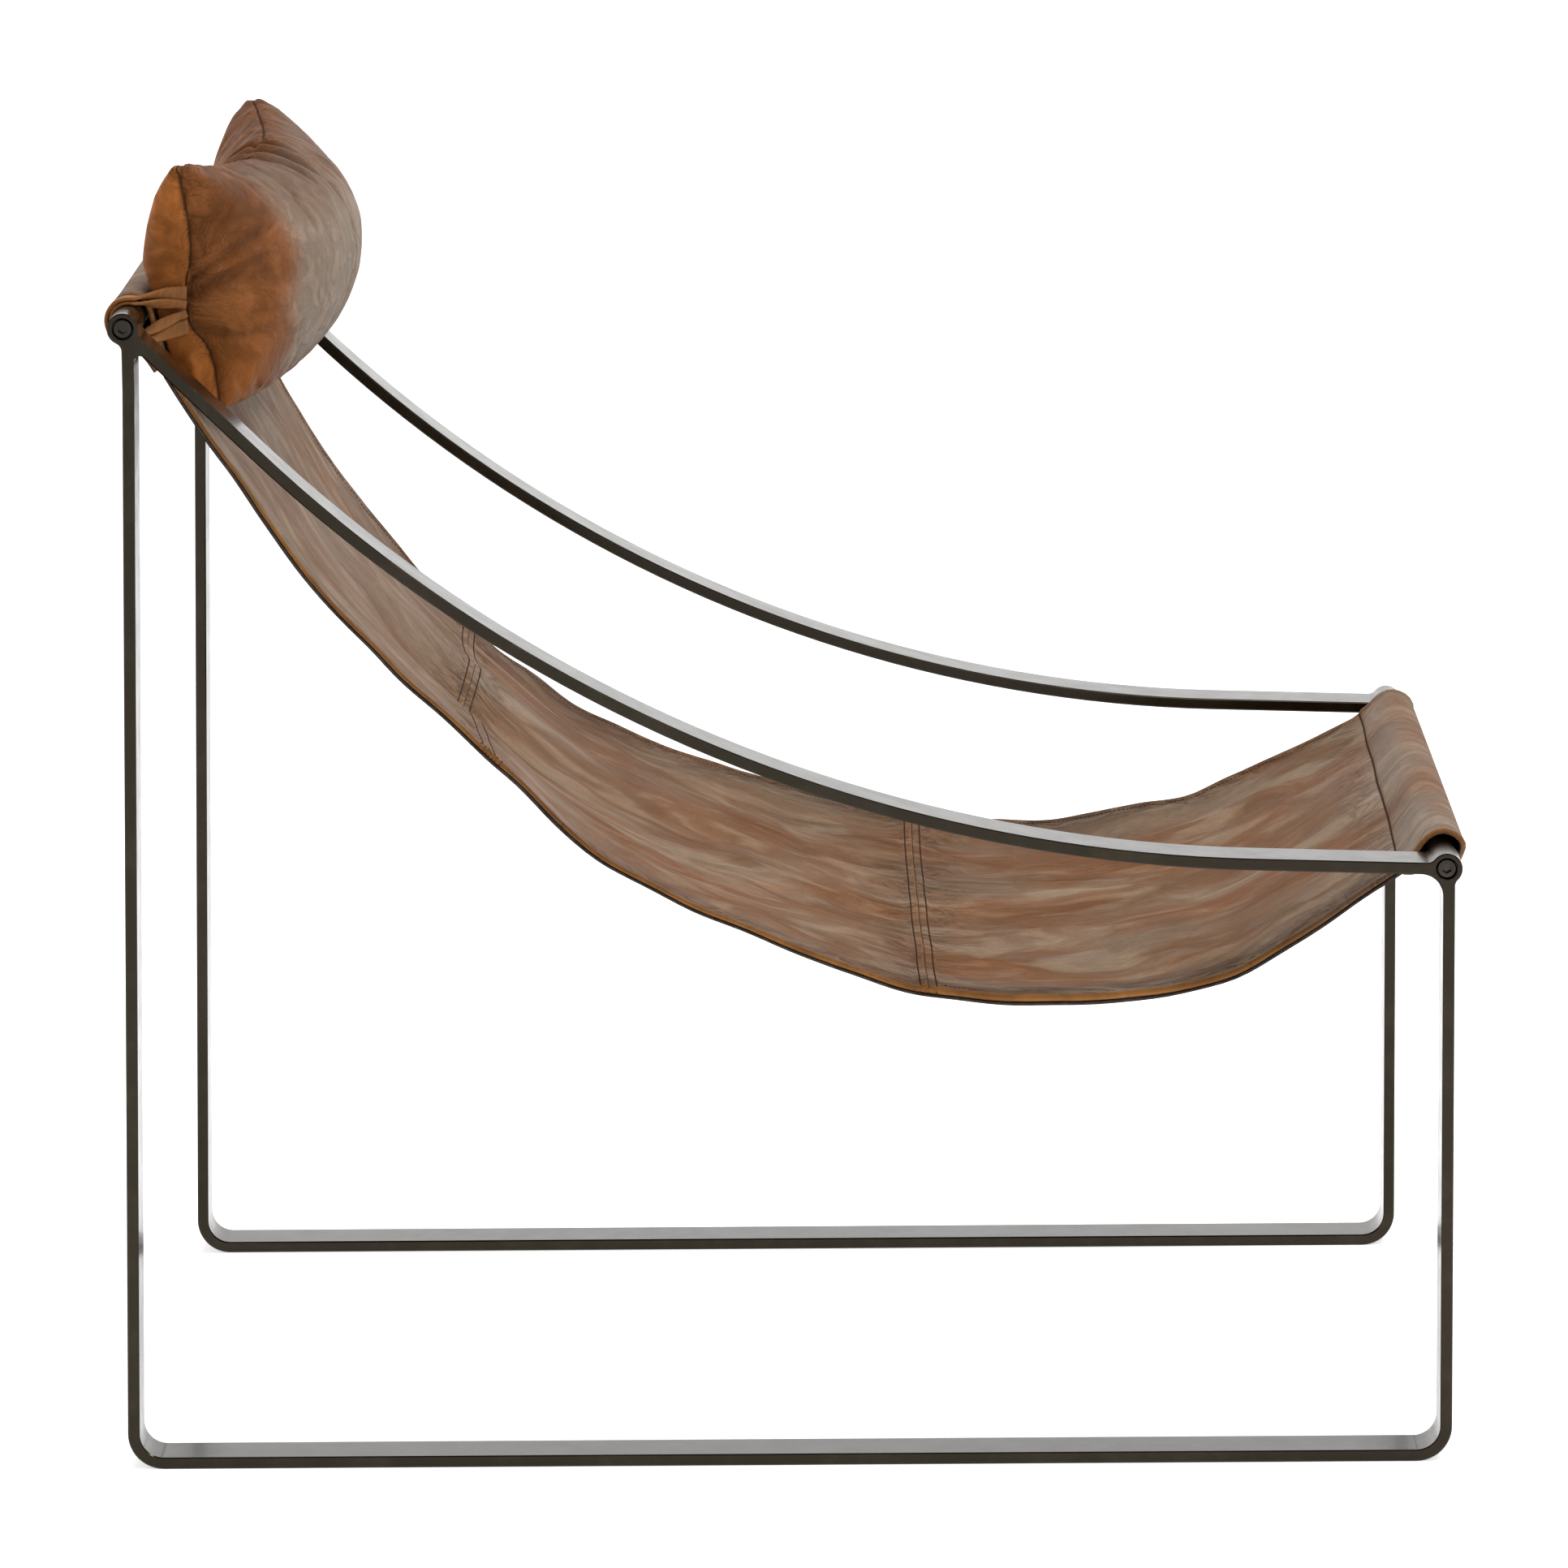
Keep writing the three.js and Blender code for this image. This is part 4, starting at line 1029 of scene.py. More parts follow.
def add_sheet(name, places, spacing, edge_waver, material, is_lining):
    point, _ = line_at(places)
    x = point[:, :1]
    along = places[:, None]
    half = half_width(x)
    v, out, deep = sheet_section(half.mean(), spacing)
    rim = lining_thickness(along) if is_lining else hide_thickness(along, x, 0)
    waver = edge_waver * drift(along / 38, 0.5, 11) * np.sign(out)
    half = half - sleeve_short(along, v)
    y = v * (half - rim / 2) + out * rim / 2 + waver * np.abs(v) ** 40
    along = np.broadcast_to(along, y.shape)
    from_edge = half - np.abs(y)
    thick = hide_thickness(along, x, from_edge)
    if is_lining:
        depth = thick + LINING_CLEAR + LINING_GAP * step(from_edge, 12, 4) + deep * rim
    else:
        depth = deep * thick - sling_relief(along, y, half) * (1 - deep)
    made = mesh_object(name, sling_point(along, y, depth), ring_faces(*y.shape), material)
    set_flat(made, y, along)
    # the tan of the burnished edge, dimmed in places by painted shade, and the painted highlight on a seam's
    # fold
    burnished = np.where(np.abs(out) > 0, 1.0, step(from_edge, *BURNISHED)) * (deep < 0.9)
    burnished = burnished * (1 - 0.8 * painted_edge_shade(along))
    set_values(made, "edge", np.maximum(burnished, 0.6 * sling_fold(along, y, half) * (deep < 0.5)))
    # the dark seam lines of the sleeves, and painted shade
    dark = np.maximum(sling_groove(along, y, half), sling_painted_shade(along, y / half))
    set_values(made, "groove_and_shade", dark * (deep < 0.5))
    set_values(made, "crumple", sling_crumple(along, from_edge))
    # the grey of painted sheen
    set_values(made, "worn", sling_sheen(along, y))
    return made


sling = add_sheet("sling_hide", STATIONS, SLING_SPACING, SLING_WAVER, SLING_HIDE, False)
LINED = STATIONS[(STATIONS > TOP_AT - LINED_PAST[0]) & (STATIONS < LIP_AT + LINED_PAST[1])][::2]
lining = add_sheet("sling_lining_hide", LINED, LINING_SPACING, LINING_WAVER, LINING_HIDE, True)
for piece, slot in ((sling, "hide"), (lining, "lining_hide")):
    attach(piece, "chair")
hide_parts("sling_back_panel", "sling_middle_panel", "sling_seat_panel")
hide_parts("sling_lining")
print("sling", len(sling.data.polygons), "faces; lining", len(lining.data.polygons))

# %% [markdown]
# ## A row of stitches
# The hide is sewn with dark waxed thread, a stitch every three millimetres. Each stitch could be placed by
# a loop in the script, which is slow for thousands of them. A geometry tree does it: it spaces points along
# a line, turns a small bead along the line at each, lays it flat on the hide and lets it waver a little,
# with a fixed seed. A row is its points and the way that each faces. The result becomes a plain mesh,
# because instances are not exported.

# %% Stitch rows
STITCH_WAVER = 0.12             # radians


def stitch_group():
    inputs = [
        ("Geometry", "NodeSocketGeometry", None),
        ("Pitch", "NodeSocketFloat", 0.0036),
        ("Size", "NodeSocketVector", (0.0024, 0.0009, 0.0007)),
        ("Seed", "NodeSocketInt", 1),
        ("Material", "NodeSocketMaterial", None),
    ]
    outputs = [("Geometry", "NodeSocketGeometry")]
    tree, given, made = new_group("stitch_row", "GeometryNodeTree", inputs, outputs)
    curve = add(tree, "GeometryNodeMeshToCurve", {"Mesh": given["Geometry"]}).outputs[0]
    spacing = {"Curve": curve, "Length": given["Pitch"]}
    spaced = add(tree, "GeometryNodeResampleCurve", spacing, mode="LENGTH").outputs[0]
    tangent = add(tree, "GeometryNodeInputTangent").outputs[0]
    named = {"Name": "facing"}
    facing = add(tree, "GeometryNodeInputNamedAttribute", named, data_type="FLOAT_VECTOR").outputs[0]
    along = add(tree, "FunctionNodeAlignRotationToVector", {"Vector": tangent}, axis="X").outputs[0]
    upright = {"Rotation": along, "Vector": facing}
    laid = add(tree, "FunctionNodeAlignRotationToVector", upright, axis="Z", pivot_axis="X").outputs[0]
    spread = {2: -STITCH_WAVER, 3: STITCH_WAVER, "Seed": given["Seed"]}
    waver = add(tree, "FunctionNodeRandomValue", spread).outputs[1]
    spin = add(tree, "ShaderNodeCombineXYZ", {2: waver}).outputs[0]
    turning = {"Rotation": laid, "Rotate By": spin}
    askew = add(tree, "FunctionNodeRotateRotation", turning, rotation_space="LOCAL").outputs[0]
    bead = add(tree, "GeometryNodeMeshUVSphere", {"Segments": 8, "Rings": 5, "Radius": 0.5}).outputs[0]
    stitch = {"Points": spaced, "Instance": bead, "Rotation": askew, "Scale": given["Size"]}
    placed = add(tree, "GeometryNodeInstanceOnPoints", stitch).outputs[0]
    real = add(tree, "GeometryNodeRealizeInstances", {"Geometry": placed}).outputs[0]
    smooth = add(tree, "GeometryNodeSetShadeSmooth", {"Geometry": real}).outputs[0]
    coat = {"Geometry": smooth, "Material": given["Material"]}
    tree.links.new(add(tree, "GeometryNodeSetMaterial", coat).outputs[0], made["Geometry"])
    return tree


STITCHES = stitch_group()


def sewn_row(points, facing, values):
    """The plain mesh of one row of stitches."""
    mesh = bpy.data.meshes.new("row")
    mesh.from_pydata((points * MM).tolist(), [(i, i + 1) for i in range(len(points) - 1)], [])
    layer = mesh.attributes.new("facing", "FLOAT_VECTOR", "POINT")
    layer.data.foreach_set("vector", np.asarray(facing, np.float32).ravel())
    row = bpy.data.objects.new("row", mesh)
    bpy.context.scene.collection.objects.link(row)
    modifier = row.modifiers.new("stitches", "NODES")
    modifier.node_group = STITCHES
    for item in STITCHES.interface.items_tree:
        if item.in_out == "INPUT" and item.name in values:
            modifier[item.identifier] = values[item.name]
    row.update_tag()
    depsgraph = bpy.context.evaluated_depsgraph_get()
    made = bpy.data.meshes.new_from_object(row.evaluated_get(depsgraph))
    bpy.data.objects.remove(row)
    return made


def stitch_rows(name, rows, pitch, size, material):
    """Rows of stitches as one mesh."""
    values = {"Pitch": pitch * MM, "Size": [s * MM for s in size], "Material": material}
    points = []
    faces = []
    for number, (row, facing) in enumerate(rows):
        mesh = sewn_row(row, facing, {**values, "Seed": number + 1})
        start = len(points)
        points += [v.co / MM for v in mesh.vertices]
        faces += [[start + i for i in p.vertices] for p in mesh.polygons]
    return mesh_object(name, points, faces, material)


print("stitch group of", len(STITCHES.nodes), "nodes")

# %% [markdown]
# ## The sling's seams
# Two rows hold the allowances at each cross seam, one row closes each sleeve, and one runs along each side.
# Finer thread joins the panels in the seams and goes over the right edge, where the ends show. The rows
# could be projected on the hide with a Shrinkwrap. They are worked out from the same functions as the hide
# instead, so they lie on it to a tenth of a millimetre.

# %% Sling stitches
ACROSS_POINTS = 140
ALONG_POINTS = 420
SEAM_INSET = 3                  # where a row ends, from the long edge
SLEEVE_INSET = 4
JOIN_INSET = 1
THREAD_RISE = 0.1
SEAM_THREAD = (3.2, (2.5, 1.4, 0.9))                       # pitch; length, width and height of a stitch
JOIN_THREAD = (2.4, (4.2, 0.9, 0.7))
OVER_INSET = np.array([9, 6, 3.5, 1.6, 0.5, 0.0, 0.2])     # a thread that goes over the edge: from the edge,
OVER_DEPTH = np.array([0, 0, 0, 0.1, 0.25, 0.5, 0.85])     # and down it as shares of its thickness
OVERCAST = (-9.5, -2.8, 2.8, 9.5)                          # more of them at the upper seam
RIGHTWARD = np.array([0, -1, 0])


def surface_row(places, y):
    """A row on the outer face, with the way that it faces."""
    point, normal = line_at(places)
    half = half_width(point[:, 0])
    height = sling_relief(places, y, half)
    facing = np.stack([normal[:, 0], np.zeros(len(y)), normal[:, 1]], axis=-1)
    return sling_point(places, y, -height - THREAD_RISE), facing


def across_row(place, offset, inset):
    half = half_width(at_lengths(LINE, np.array([place]))[0, 0])
    y = np.linspace(inset - half, half - inset, ACROSS_POINTS)
    places = place + offset + seam_shift(place, y / half)
    return surface_row(places, y)


def edge_row(side, inset):
    places = np.linspace(TOP_AT + 2, LIP_AT - 2, ALONG_POINTS)
    half = half_width(at_lengths(LINE, places)[:, 0])
    return surface_row(places, side * (half - inset))


def over_edge(seam, offset):
    """A short row that leads a seam line over the turned right edge."""
    count = len(OVER_INSET)
    places = np.full(count, seam + offset + seam_shift(seam, -1.0))
    point, normal = line_at(places)
    half = half_width(point[:, 0])
    thick = value_at(EDGE_THICKNESS, point[:, 0])
    depth = OVER_DEPTH * thick
    y = OVER_INSET - half
    raised = np.where(depth > 0, THREAD_RISE, sling_relief(places, y, half) + THREAD_RISE)
    up = np.stack([normal[:, 0], np.zeros(count), normal[:, 1]], axis=-1)
    share = np.clip(depth / thick, 0, 1)[:, None]
    facing = up * (1 - share) + RIGHTWARD * share
    points = sling_point(places, y, depth - raised)
    return points + 0.25 * RIGHTWARD * share, facing


seam_rows = [across_row(seam, off, SEAM_INSET) for seam in CROSS_SEAMS for off in (-SEAM_STITCH, SEAM_STITCH)]
sleeve_rows = [across_row(place, 0, SLEEVE_INSET) for place in (TOP_AT, LIP_AT)]
edge_rows = [edge_row(side, EDGE_STITCH) for side in (-1, 1)]
flat_rows = seam_rows + sleeve_rows + edge_rows
sling_stitches = stitch_rows("sling_stitches", flat_rows, *SEAM_THREAD, THREAD)
join_rows = [across_row(seam, 0, JOIN_INSET) for seam in CROSS_SEAMS]
join_rows += [over_edge(seam, off) for seam in CROSS_SEAMS for off in (-SEAM_STITCH, 0, SEAM_STITCH)]
join_rows += [over_edge(BACK_SEAM_AT, off) for off in OVERCAST]
sling_joins = stitch_rows("sling_joins", join_rows, *JOIN_THREAD, THREAD)
for piece in (sling_stitches, sling_joins):
    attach(piece, "chair")
    print(piece.name, len(piece.data.polygons), "faces")

# %% [markdown]

# %% [markdown]
# ## The form of the head pillow
# The pillow is two hide panels sewn round a stuffed core. It bows ahead in the middle, its top seam dips
# between two ears, and the straps draw its end seams back. It could be sculpted, but a sculpt can't be
# changed by a number. So its form is worked out over a square: u runs along the pillow and v up it, each
# from -1 to 1, and a crown in front and one behind swell from the seam.

# %% Pillow form
PILLOW_LENGTH = 500
PILLOW_HEIGHT = 170
PILLOW_FRONT = 53
PILLOW_BACK = 55
PILLOW_LEAN = math.radians(12)
PILLOW_MIDDLE = HEAD + (48, 0, 18)
PILLOW_BOW = 24                 # the middle stands ahead of the ends
PILLOW_TURN = 7                 # the left end stands ahead of the right one, by twice this
PILLOW_WAIST = 0.035            # the ends are drawn in at half their height
PILLOW_CHOP = 0.27              # dip of the top seam between its two ears
PILLOW_DROP = 8                 # the left ears hang lower than the right ones
PILLOW_SLACK = 0.15             # the lower front is less full
FRONT_BLUNT = 0.18              # how soon a crown is full: from the ends, in front and behind,
BACK_BLUNT = 0.16
LONG_BLUNT = 0.55               # and from the long seams
END_SEAM = [(-90, -8), (-66, -7.7), (-53, -7.5), (-37, -11), (-24, -19.5), (-9, -18.5), (5, -14), (16, -9),
            (28, -4.7), (41, -3), (67, 0), (90, 1.5)]     # the straps draw it back: (height, place ahead)
FORM_POINTS = (61, 33)
PILLOW_UP = np.array([-math.sin(PILLOW_LEAN), 0, math.cos(PILLOW_LEAN)])
PILLOW_OUT = np.array([math.cos(PILLOW_LEAN), 0, math.sin(PILLOW_LEAN)])


def seam_out(long, high):
    """How far the sheet through the seams stands ahead of the pillow's middle."""
    u = np.clip(2 * long / PILLOW_LENGTH, -1, 1)
    return PILLOW_BOW * (1 - u * u) + PILLOW_TURN * (1 + u) + value_at(END_SEAM, high) * np.abs(u) ** 5


def pillow_points(u, v, crown):
    """Points of the front, of the back with a crown below 0, or of the sheet through the seams with none."""
    long = PILLOW_LENGTH / 2 * u * (1 - PILLOW_WAIST * (1 - v * v))
    high = PILLOW_HEIGHT / 2 * v * (1 - PILLOW_CHOP * np.clip(1 - u * u, 0, 1) ** 0.9 * (1 + v) / 2)
    high = high - PILLOW_DROP * step(u, -1, 1)
    blunt = FRONT_BLUNT if crown > 0 else BACK_BLUNT
    full = np.clip(1 - u * u, 0, 1) ** blunt * np.clip(1 - v * v, 0, 1) ** LONG_BLUNT
    if crown > 0:
        full = full * (1 - PILLOW_SLACK * step(v, 0.1, -0.8))
    out = seam_out(long, high) + crown * full
    point = PILLOW_MIDDLE + high[..., None] * PILLOW_UP + out[..., None] * PILLOW_OUT
    point[..., 1] = long
    return point


def pillow_form(shrink):
    """Front and back, joined at the seam all round."""
    u, v = (np.sin(np.pi / 2 * np.linspace(-1, 1, count)) for count in FORM_POINTS)
    grid_u, grid_v = np.meshgrid(u, v, indexing="ij")
    front = pillow_points(grid_u, grid_v, PILLOW_FRONT * shrink)
    back = pillow_points(grid_u, grid_v, -PILLOW_BACK * shrink)
    rows, columns = grid_u.shape
    index = np.arange(rows * columns).reshape(rows, columns)
    other = index + rows * columns
    rim = (np.abs(grid_u) > 0.9999) | (np.abs(grid_v) > 0.9999)
    other = np.where(rim, index, other)
    quads = []
    for i in range(rows - 1):
        for j in range(columns - 1):
            quads.append([index[i, j], index[i + 1, j], index[i + 1, j + 1], index[i, j + 1]])
            quads.append([other[i, j], other[i, j + 1], other[i + 1, j + 1], other[i + 1, j]])
    return np.vstack([front.reshape(-1, 3), back.reshape(-1, 3)]), quads


def in_pillow(points):
    """Places along, up and out of the pillow, with out measured from the seam."""
    rel = points - PILLOW_MIDDLE
    long = points[:, 1]
    high = rel @ PILLOW_UP
    return long, high, rel @ PILLOW_OUT - seam_out(long, high)


print("pillow form of", len(pillow_form(1.0)[1]), "faces")

# %% [markdown]
# ## Blowing the pillow up
# Stuffing pushes the hide out until it is taut, which no formula gives well. A slightly smaller form is
# meshed evenly with a voxel Remesh, and a cloth simulation with pressure inside blows it up while its seam
# is held. A simulation alone would also lose the pillow's own form, so no point may move further than a few
# millimetres.

# %% Pillow mesh
FORM_SHARE = 0.95               # of the crowns, before the cloth is blown up
VOXEL = 5
CLOTH_SLACK = 0.02              # how much larger than its form the hide is cut
CLOTH_FRAMES = 20
CLOTH_PRESSURE = 20
CLOTH_STIFFNESS = 12
CLOTH_BENDING = 0.6
FARTHEST_BLOWN = 9
HELD_BAND = 3.5                 # what is held: near the seam, at the ends or at the top and the bottom
HELD_ENDS = 215
HELD_SIDES = 45


def applied(made):
    """Turns what an object's modifiers show into its own mesh."""
    bpy.context.view_layer.update()
    depsgraph = bpy.context.evaluated_depsgraph_get()
    mesh = bpy.data.meshes.new_from_object(made.evaluated_get(depsgraph))
    made.modifiers.clear()
    old = made.data
    made.data = mesh
    bpy.data.meshes.remove(old)


def vertex_values(made, name):
    flat = np.zeros(len(made.data.vertices) * 3, np.float32)
    made.data.vertices.foreach_get(name, flat)
    return flat.reshape(-1, 3).astype(float)


def get_points(made):
    return vertex_values(made, "co") / MM


def get_normals(made):
    return vertex_values(made, "normal")


def put_points(made, points):
    made.data.vertices.foreach_set("co", (points * MM).astype(np.float32).ravel())
    made.data.update()


def inflate(made):
    start = get_points(made)
    long, high, out = in_pillow(start)
    held = made.vertex_groups.new(name="seam")
    rim = (np.abs(long) > HELD_ENDS) | (np.abs(high) > HELD_SIDES)
    held.add(np.flatnonzero((np.abs(out) < HELD_BAND) & rim).tolist(), 1.0, "REPLACE")
    cloth = made.modifiers.new("cloth", "CLOTH")
    cloth.settings.vertex_group_mass = "seam"
    cloth.settings.use_pressure = True
    cloth.settings.uniform_pressure_force = CLOTH_PRESSURE
    cloth.settings.shrink_min = -CLOTH_SLACK
    cloth.settings.effector_weights.gravity = 0
    cloth.settings.tension_stiffness = CLOTH_STIFFNESS
    cloth.settings.compression_stiffness = CLOTH_STIFFNESS
    cloth.settings.bending_stiffness = CLOTH_BENDING
    cloth.point_cache.frame_start = 1
    cloth.point_cache.frame_end = CLOTH_FRAMES
    for number in range(1, CLOTH_FRAMES + 1):
        bpy.context.scene.frame_set(number)
    applied(made)
    bpy.context.scene.frame_set(1)
    move = get_points(made) - start
    far = np.linalg.norm(move, axis=1, keepdims=True)
    put_points(made, start + move * np.minimum(1, FARTHEST_BLOWN / np.maximum(far, 1e-6)))


def make_pillow():
    points, quads = pillow_form(FORM_SHARE)
    made = mesh_object("head_pillow_hide", points, quads, PILLOW_HIDE)
    remesh = made.modifiers.new("even", "REMESH")
    remesh.mode = "VOXEL"
    remesh.voxel_size = VOXEL * MM
    applied(made)
    inflate(made)
    finer = made.modifiers.new("finer", "SUBSURF")
    finer.levels = 1
    finer.render_levels = 1
    applied(made)
    made.data.polygons.foreach_set("use_smooth", [True] * len(made.data.polygons))
    return made


pillow = make_pillow()
print("pillow", len(pillow.data.polygons), "faces")

# %% [markdown]
# ## Creases of the pillow
# Years of heads have creased the hide: deep folds cross the dip of the top seam, the straps draw long
# wrinkles on the ends, and small puckers stand along the seam. A finer simulation could find folds, but not
# these ones. So each kind is a small function of the place on the pillow, and the hide is moved along its
# normals by their sum. A fold is a narrow valley with a roll of hide behind it, because a valley alone
# doesn't show from above.

# %% Pillow creases
SADDLE_FOLDS = (34, -8, -47)    # lengths along the pillow
SADDLE_DEPTH = 2.5
SADDLE_ROLL = 3.6               # height of the hide that rolls up behind a fold
END_WRINKLES = [((2, 6), (62, 36), 4.2), ((0, -4), (72, 14), 5.0), ((30, -3), (80, -2), 4.2),
                ((4, -30), (60, -50), 3.6)]                # from and to, as (out, up), and the depth
END_WRINKLE_WIDTH = 4
PUCKER_DEPTH = 0.7
FAN_DEPTH = 1.6
SOFT_DEPTH = 0.6
STREAK_DEPTH = 0.3
SEAM_SINK = 2.2
SEAM_SINK_WIDTH = 2.0
FOLD_WIDTH = 3
ROLL_SHIFT = 9                  # from a fold to its roll
ROLL_WIDTH = 7


def near_segment(x, y, start, end, width):
    """1 on a line between two points, fading across it and towards its ends."""
    start = np.array(start, float)
    way = np.array(end, float) - start
    share = ((x - start[0]) * way[0] + (y - start[1]) * way[1]) / (way @ way)
    held = np.clip(share, 0, 1)
    across = np.hypot(x - start[0] - held * way[0], y - start[1] - held * way[1])
    return bump_at(across, width) * step(held, 1, 0.3) ** 0.7


def pillow_streaks(long, high):
    """Fine lines down the front, between -1 and 1."""
    fine = drift(long / 5 + 40 + high / 60, high / 70, 26)
    return 0.6 * fine + 0.4 * drift(long / 9 - high / 70, high / 110, 27)


def pillow_wrinkles(long, high, out):
    """Heights of the puckers beside the seam, of the fan at its saddle and of soft waves all over."""
    reach = np.abs(out)
    end = step(np.abs(long), 195, 235)
    puckers = np.sin(high / 4.2 + 3 * drift(high / 30, 0.5, 21))
    pucker = PUCKER_DEPTH * puckers * end * bump_at(reach, 14) * step(reach, 0, 3)
    saddle = bump_at(long - 45, 60) * step(high, 20, 40)
    waves = np.sin(long / 2.9 + out / 14 + 2 * drift(long / 26, out / 40, 22))
    fan = FAN_DEPTH * waves * saddle * bump_at(reach, 34) * step(reach, 0, 4)
    soft = SOFT_DEPTH * drift(long / 42 + 30, high / 60, 23) + STREAK_DEPTH * pillow_streaks(long, high)
    return pucker + fan + soft


def saddle_folds(long, high, out, shift, width):
    """1 on the deep folds that cross the dip of the top seam, or beside them by a shift."""
    over = step(high, 18, 40) * bump_at(out, 46)
    past = long - shift - 0.12 * np.abs(out) - 3 * drift(out / 16, 0.5, 28)
    return np.maximum.reduce([bump_at(past - place, width) for place in SADDLE_FOLDS]) * over


def end_wrinkles(long, high, out):
    """Depths of the few long folds that the straps draw on the ends."""
    end = step(np.abs(long), 185, 225)
    return sum(depth * near_segment(out, high, a, b, END_WRINKLE_WIDTH) for a, b, depth in END_WRINKLES) * end


creases = np.abs(pillow_wrinkles(*in_pillow(get_points(pillow))))
print(f"wrinkles of up to {creases.max():.1f} mm on the pillow")

# %% [markdown]
# ## Where the pillow rests
# The pillow lies on the sling, and when it is thrown over the head tube it comes to rest on the rear hem.
# Both hides would give way a little. A collision in the simulation could do this for one pose, but not for
# both. So points of the pillow that lie within the sling are pushed out along the sling's normal, once as
# the pillow rests and once turned to the end of its swing.

# %% Pillow rest
REST_GAP = 0.8                  # between the pillow and the sling that it rests on
RELIEF_ROOM = 0.9               # more, for the raised seams of the sling
REAR_HEM = 60                   # length of the sleeve's rear side
TURN_LIMIT = math.radians(205)  # how far the pillow turns over the head tube
NEAR_AHEAD = 70                 # only points this close to the head tube can touch the sling
NEAR_ABOVE = 30


def press_on_sling(points, places):
    """Moves points off the stations of the sling that the pillow rests on."""
    line = at_lengths(LINE, places)
    flat = points[:, [0, 2]]
    low = np.flatnonzero((flat[:, 0] < HEAD[0] + NEAR_AHEAD) & (flat[:, 1] < HEAD[2] + NEAR_ABOVE))
    nearest = np.array([np.argmin(((line - q) ** 2).sum(axis=1)) for q in flat[low]])
    place = places[nearest]
    base, normal = line_at(place)
    v = np.clip(points[low, 1] / half_width(base[:, 0]), -1, 1)
    off = flat[low] - base
    stands = (off * normal).sum(axis=1) - sling_lift(place, base[:, 0], v)
    beside = np.abs(off[:, 0] * normal[:, 1] - off[:, 1] * normal[:, 0])
    push = np.maximum(0, REST_GAP + RELIEF_ROOM - stands) * (beside < STATION_STEP)
    points[low, 0] += normal[:, 0] * push
    points[low, 2] += normal[:, 1] * push
    return points


def turned(points, angle):
    """Points that turn with the pillow about the head tube."""
    x, y, z = (points - HEAD).T
    ahead = x * math.cos(angle) - z * math.sin(angle)
    above = x * math.sin(angle) + z * math.cos(angle)
    return HEAD + np.stack([ahead, y, above], axis=-1)


def press_pillow(points):
    """The pillow gives way to the sling at rest, and to the rear hem where its turn ends."""
    points = press_on_sling(points, STATIONS)
    behind = press_on_sling(turned(points, TURN_LIMIT), STATIONS[STATIONS < REAR_HEM])
    return turned(behind, -TURN_LIMIT)


def crease_pillow(made):
    """Moves the hide into its creases and keeps the marks that its material reads, painted light among them.
    """
    points = get_points(made)
    normals = get_normals(made)
    long, high, out = in_pillow(points)
    sunk = -SEAM_SINK * bump_at(out, SEAM_SINK_WIDTH)
    drawn = end_wrinkles(long, high, out)
    folded = saddle_folds(long, high, out, 0, FOLD_WIDTH)
    rolled = saddle_folds(long, high, out, ROLL_SHIFT, ROLL_WIDTH)
    move = sunk + pillow_wrinkles(long, high, out) - drawn - SADDLE_DEPTH * folded + SADDLE_ROLL * rolled
    put_points(made, press_pillow(points + normals * move[:, None]))
    at_end = step(long, -185, -225)
    # a darker patch high on the near end, and a brighter tan patch low on it
    cloud = 0.3 * bump_at(np.hypot(out - 42, high - 42), 28) * at_end
    bright = 0.45 * bump_at(np.hypot(out - 16, high + 58), 24) * at_end
    # painted shade: on the upward faces, which the lamps light most, in the end wrinkles and in the saddle
    # folds
    top = step(normals[:, 2], 0.3, 0.85)
    shaded = 0.07 * drawn + 0.5 * folded + 0.33 * top + cloud
    # the dark seam line, with the painted shade
    set_values(made, "groove_and_shade", np.maximum(0.5 * bump_at(out, 1.4), shaded))
    # painted sheen greys the front away from the near end, less on the upward faces
    worn = step(long + 9 * drift(high / 30, out / 30, 25), -208, -162) * step(out, 4, 22)
    set_values(made, "worn", worn * (1 - 0.45 * top) * (0.9 + 0.2 * pillow_streaks(long, high)))
    # painted light: the back panel's near end takes the tan of the edges, as does the brighter patch
    set_values(made, "edge", np.maximum(0.75 * step(out, 2, -4) * step(long, -120, -220), bright))
    set_values(made, "crumple", 0.6 * bump_at(out, 14))


crease_pillow(pillow)
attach(pillow, "head_pillow")
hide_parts("pillow_front_cover", "pillow_back_cover", "pillow_insert")
print("creased pillow is", np.ptp(get_points(pillow), axis=0).round(1), "mm large")

# %% [markdown]
# ## The pillow's seam
# The two panels are sewn inside out and turned, so only a sunk line with its thread shows. The seam's path
# could be picked from the mesh edges, but the Remesh left no edge along it. So the rim of the form is laid
# on the creased mesh: each of its points goes to the mean of the nearest mesh points, and the row is evened
# out. The stitch tree of the sling then sews it.

# %% Pillow seam
SIDE_POINTS = 160
NEAREST = 5
EVEN_REACH = 4
SEAM_RISE = 0.3
PILLOW_THREAD = (2.6, (4.0, 1.0, 0.9))


def evened(row):
    """A closed row of points or directions, each the mean of its neighbours."""
    near = range(-EVEN_REACH, EVEN_REACH + 1)
    return sum(np.roll(row, offset, axis=0) for offset in near) / len(near)


def pillow_seam(made):
    side = np.linspace(-1, 1, SIDE_POINTS)
    one = np.ones(SIDE_POINTS)
    round_u = np.concatenate([-one, side, one, -side])
    round_v = np.concatenate([side, one, -side, -one])
    rim = pillow_points(round_u, round_v, 0.0)
    points = get_points(made)
    normals = get_normals(made)
    tree = KDTree(len(points))
    for number, point in enumerate(points):
        tree.insert(point, number)
    tree.balance()
    near = [[found[1] for found in tree.find_n(point, NEAREST)] for point in rim]
    laid = np.array([points[found].mean(axis=0) for found in near])
    facing = np.array([normals[found].mean(axis=0) for found in near])
    return evened(laid) + SEAM_RISE * facing, evened(facing)


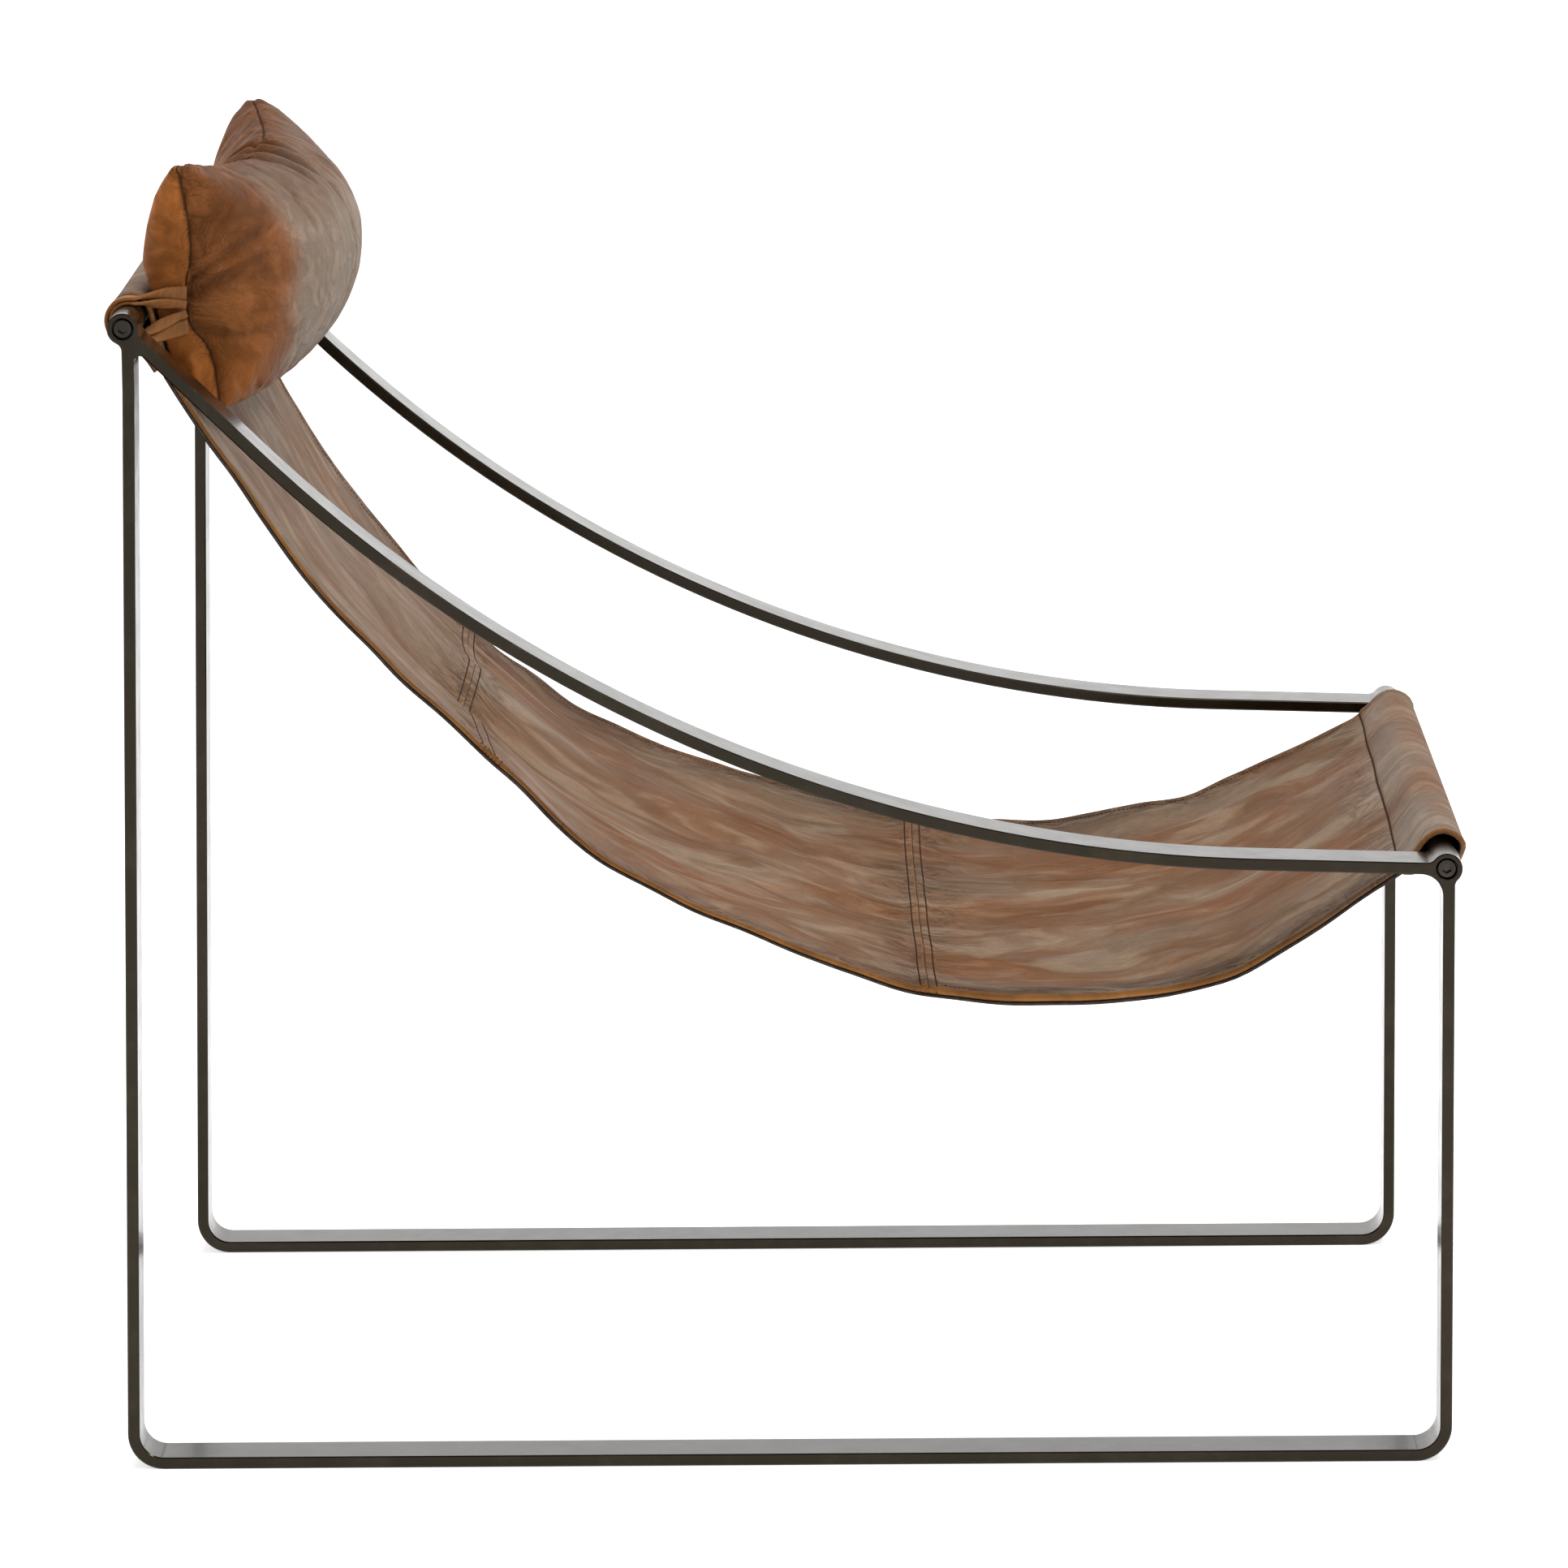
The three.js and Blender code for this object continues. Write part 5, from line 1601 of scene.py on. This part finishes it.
pillow_join = stitch_rows("pillow_join", [pillow_seam(pillow)], *PILLOW_THREAD, THREAD)
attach(pillow_join, "head_pillow")
print(pillow_join.name, len(pillow_join.data.polygons), "faces")

# %% [markdown]
# ## Straps
# A strap holds each end of the pillow to the head tube: two plies of hide that leave the end seam, go round
# the tube and come back. A ply lies flat on the tube and turns to face outwards where it is sewn in. A
# simulated strip could be pulled tight, but its path is known: two straight runs that touch a circle. So
# the path is worked out, and a rounded strip is laid along it that turns by a quarter on each run.

# %% Straps
STRAP_Y = EYE_INNER - 10
STRAP_SEAM = (36, 0, 0)         # where the straps meet the pillow, from the head tube
OUTER_PLY = {"radius": 14.6, "upper": (0, 12.8), "lower": (0.8, -9.6), "seam_y": 244,
             "width_seam": 9.5, "width_tube": 13, "thickness": 2.4}
INNER_PLY = {"radius": 11.8, "upper": (0, 5.5), "lower": (0, -0.3), "seam_y": 245.5,
             "width_seam": 5, "width_tube": 12, "thickness": 2.2}
WRAP_POINTS = 26
RUN_POINTS = 14
STRIP_CORNERS = np.array([(-0.5, -0.3), (-0.44, -0.5), (0.44, -0.5), (0.5, -0.3),
                          (0.5, 0.3), (0.44, 0.5), (-0.44, 0.5), (-0.5, 0.3)])


def ribbon(path, across, thick, widths, thickness):
    """A strip along a path, from its directions across and through, with rounded corners."""
    rings = path[:, None, :] + STRIP_CORNERS[None, :, :1] * across[:, None, :] * widths[:, None, None]
    return rings + STRIP_CORNERS[None, :, 1:] * thick[:, None, :] * thickness


def strap_ply(side, radius, upper, lower, seam_y, width_seam, width_tube, thickness):
    """Rings of one ply; upper and lower are where it is sewn in, as (x, z) from its place on the seam."""
    head = HEAD[[0, 2]]
    seam = (HEAD + STRAP_SEAM)[[0, 2]]
    upper = seam + upper
    lower = seam + lower
    away = np.array([upper, lower]) - head
    dist = np.linalg.norm(away, axis=1)
    angle = np.arctan2(away[:, 1], away[:, 0]) + np.array([1, -1]) * np.arccos(radius / dist)
    arc = np.linspace(angle[0], angle[1] + 2 * np.pi, WRAP_POINTS)
    wrap = head + radius * np.stack([np.cos(arc), np.sin(arc)], axis=-1)
    share = np.linspace(0, 1, RUN_POINTS, endpoint=False)[:, None]
    over = upper * (1 - share) + wrap[0] * share
    under = wrap[-1] * (1 - share) + lower * share
    flat = np.vstack([over, wrap, under[1:], [lower]])
    on_tube = np.concatenate([share[:, 0], np.ones(WRAP_POINTS), 1 - share[1:, 0], [0]])
    laid = step(on_tube, 0, 1)
    way = np.gradient(flat, axis=0)
    way /= np.linalg.norm(way, axis=1, keepdims=True)
    outward = np.stack([way[:, 1], np.zeros(len(way)), -way[:, 0]], axis=-1)
    y = seam_y + (STRAP_Y - seam_y) * laid
    path = np.stack([flat[:, 0], side * y, flat[:, 1]], axis=-1)
    sideways = np.array([0.0, side, 0.0])
    lean = (np.pi / 2) * (1 - laid)[:, None]
    across = np.cos(lean) * sideways + np.sin(lean) * outward
    thick = -np.sin(lean) * sideways + np.cos(lean) * outward
    widths = width_seam + (width_tube - width_seam) * laid
    return ribbon(path, across, thick, widths, thickness)


def add_strap(name, side, node):
    points = []
    faces = []
    for ply in (OUTER_PLY, INNER_PLY):
        rings = strap_ply(side, **ply)
        start = len(points)
        points += rings.reshape(-1, 3).tolist()
        faces += [[start + i for i in face] for face in ring_faces(*rings.shape[:2])]
    made = mesh_object(name, points, faces, STRAP_HIDE)
    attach(made, "head_pillow")
    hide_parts(node)
    print(name, len(faces), "faces")


add_strap("right_strap_hide", -1, "right_pillow_strap")
add_strap("left_strap_hide", 1, "left_pillow_strap")
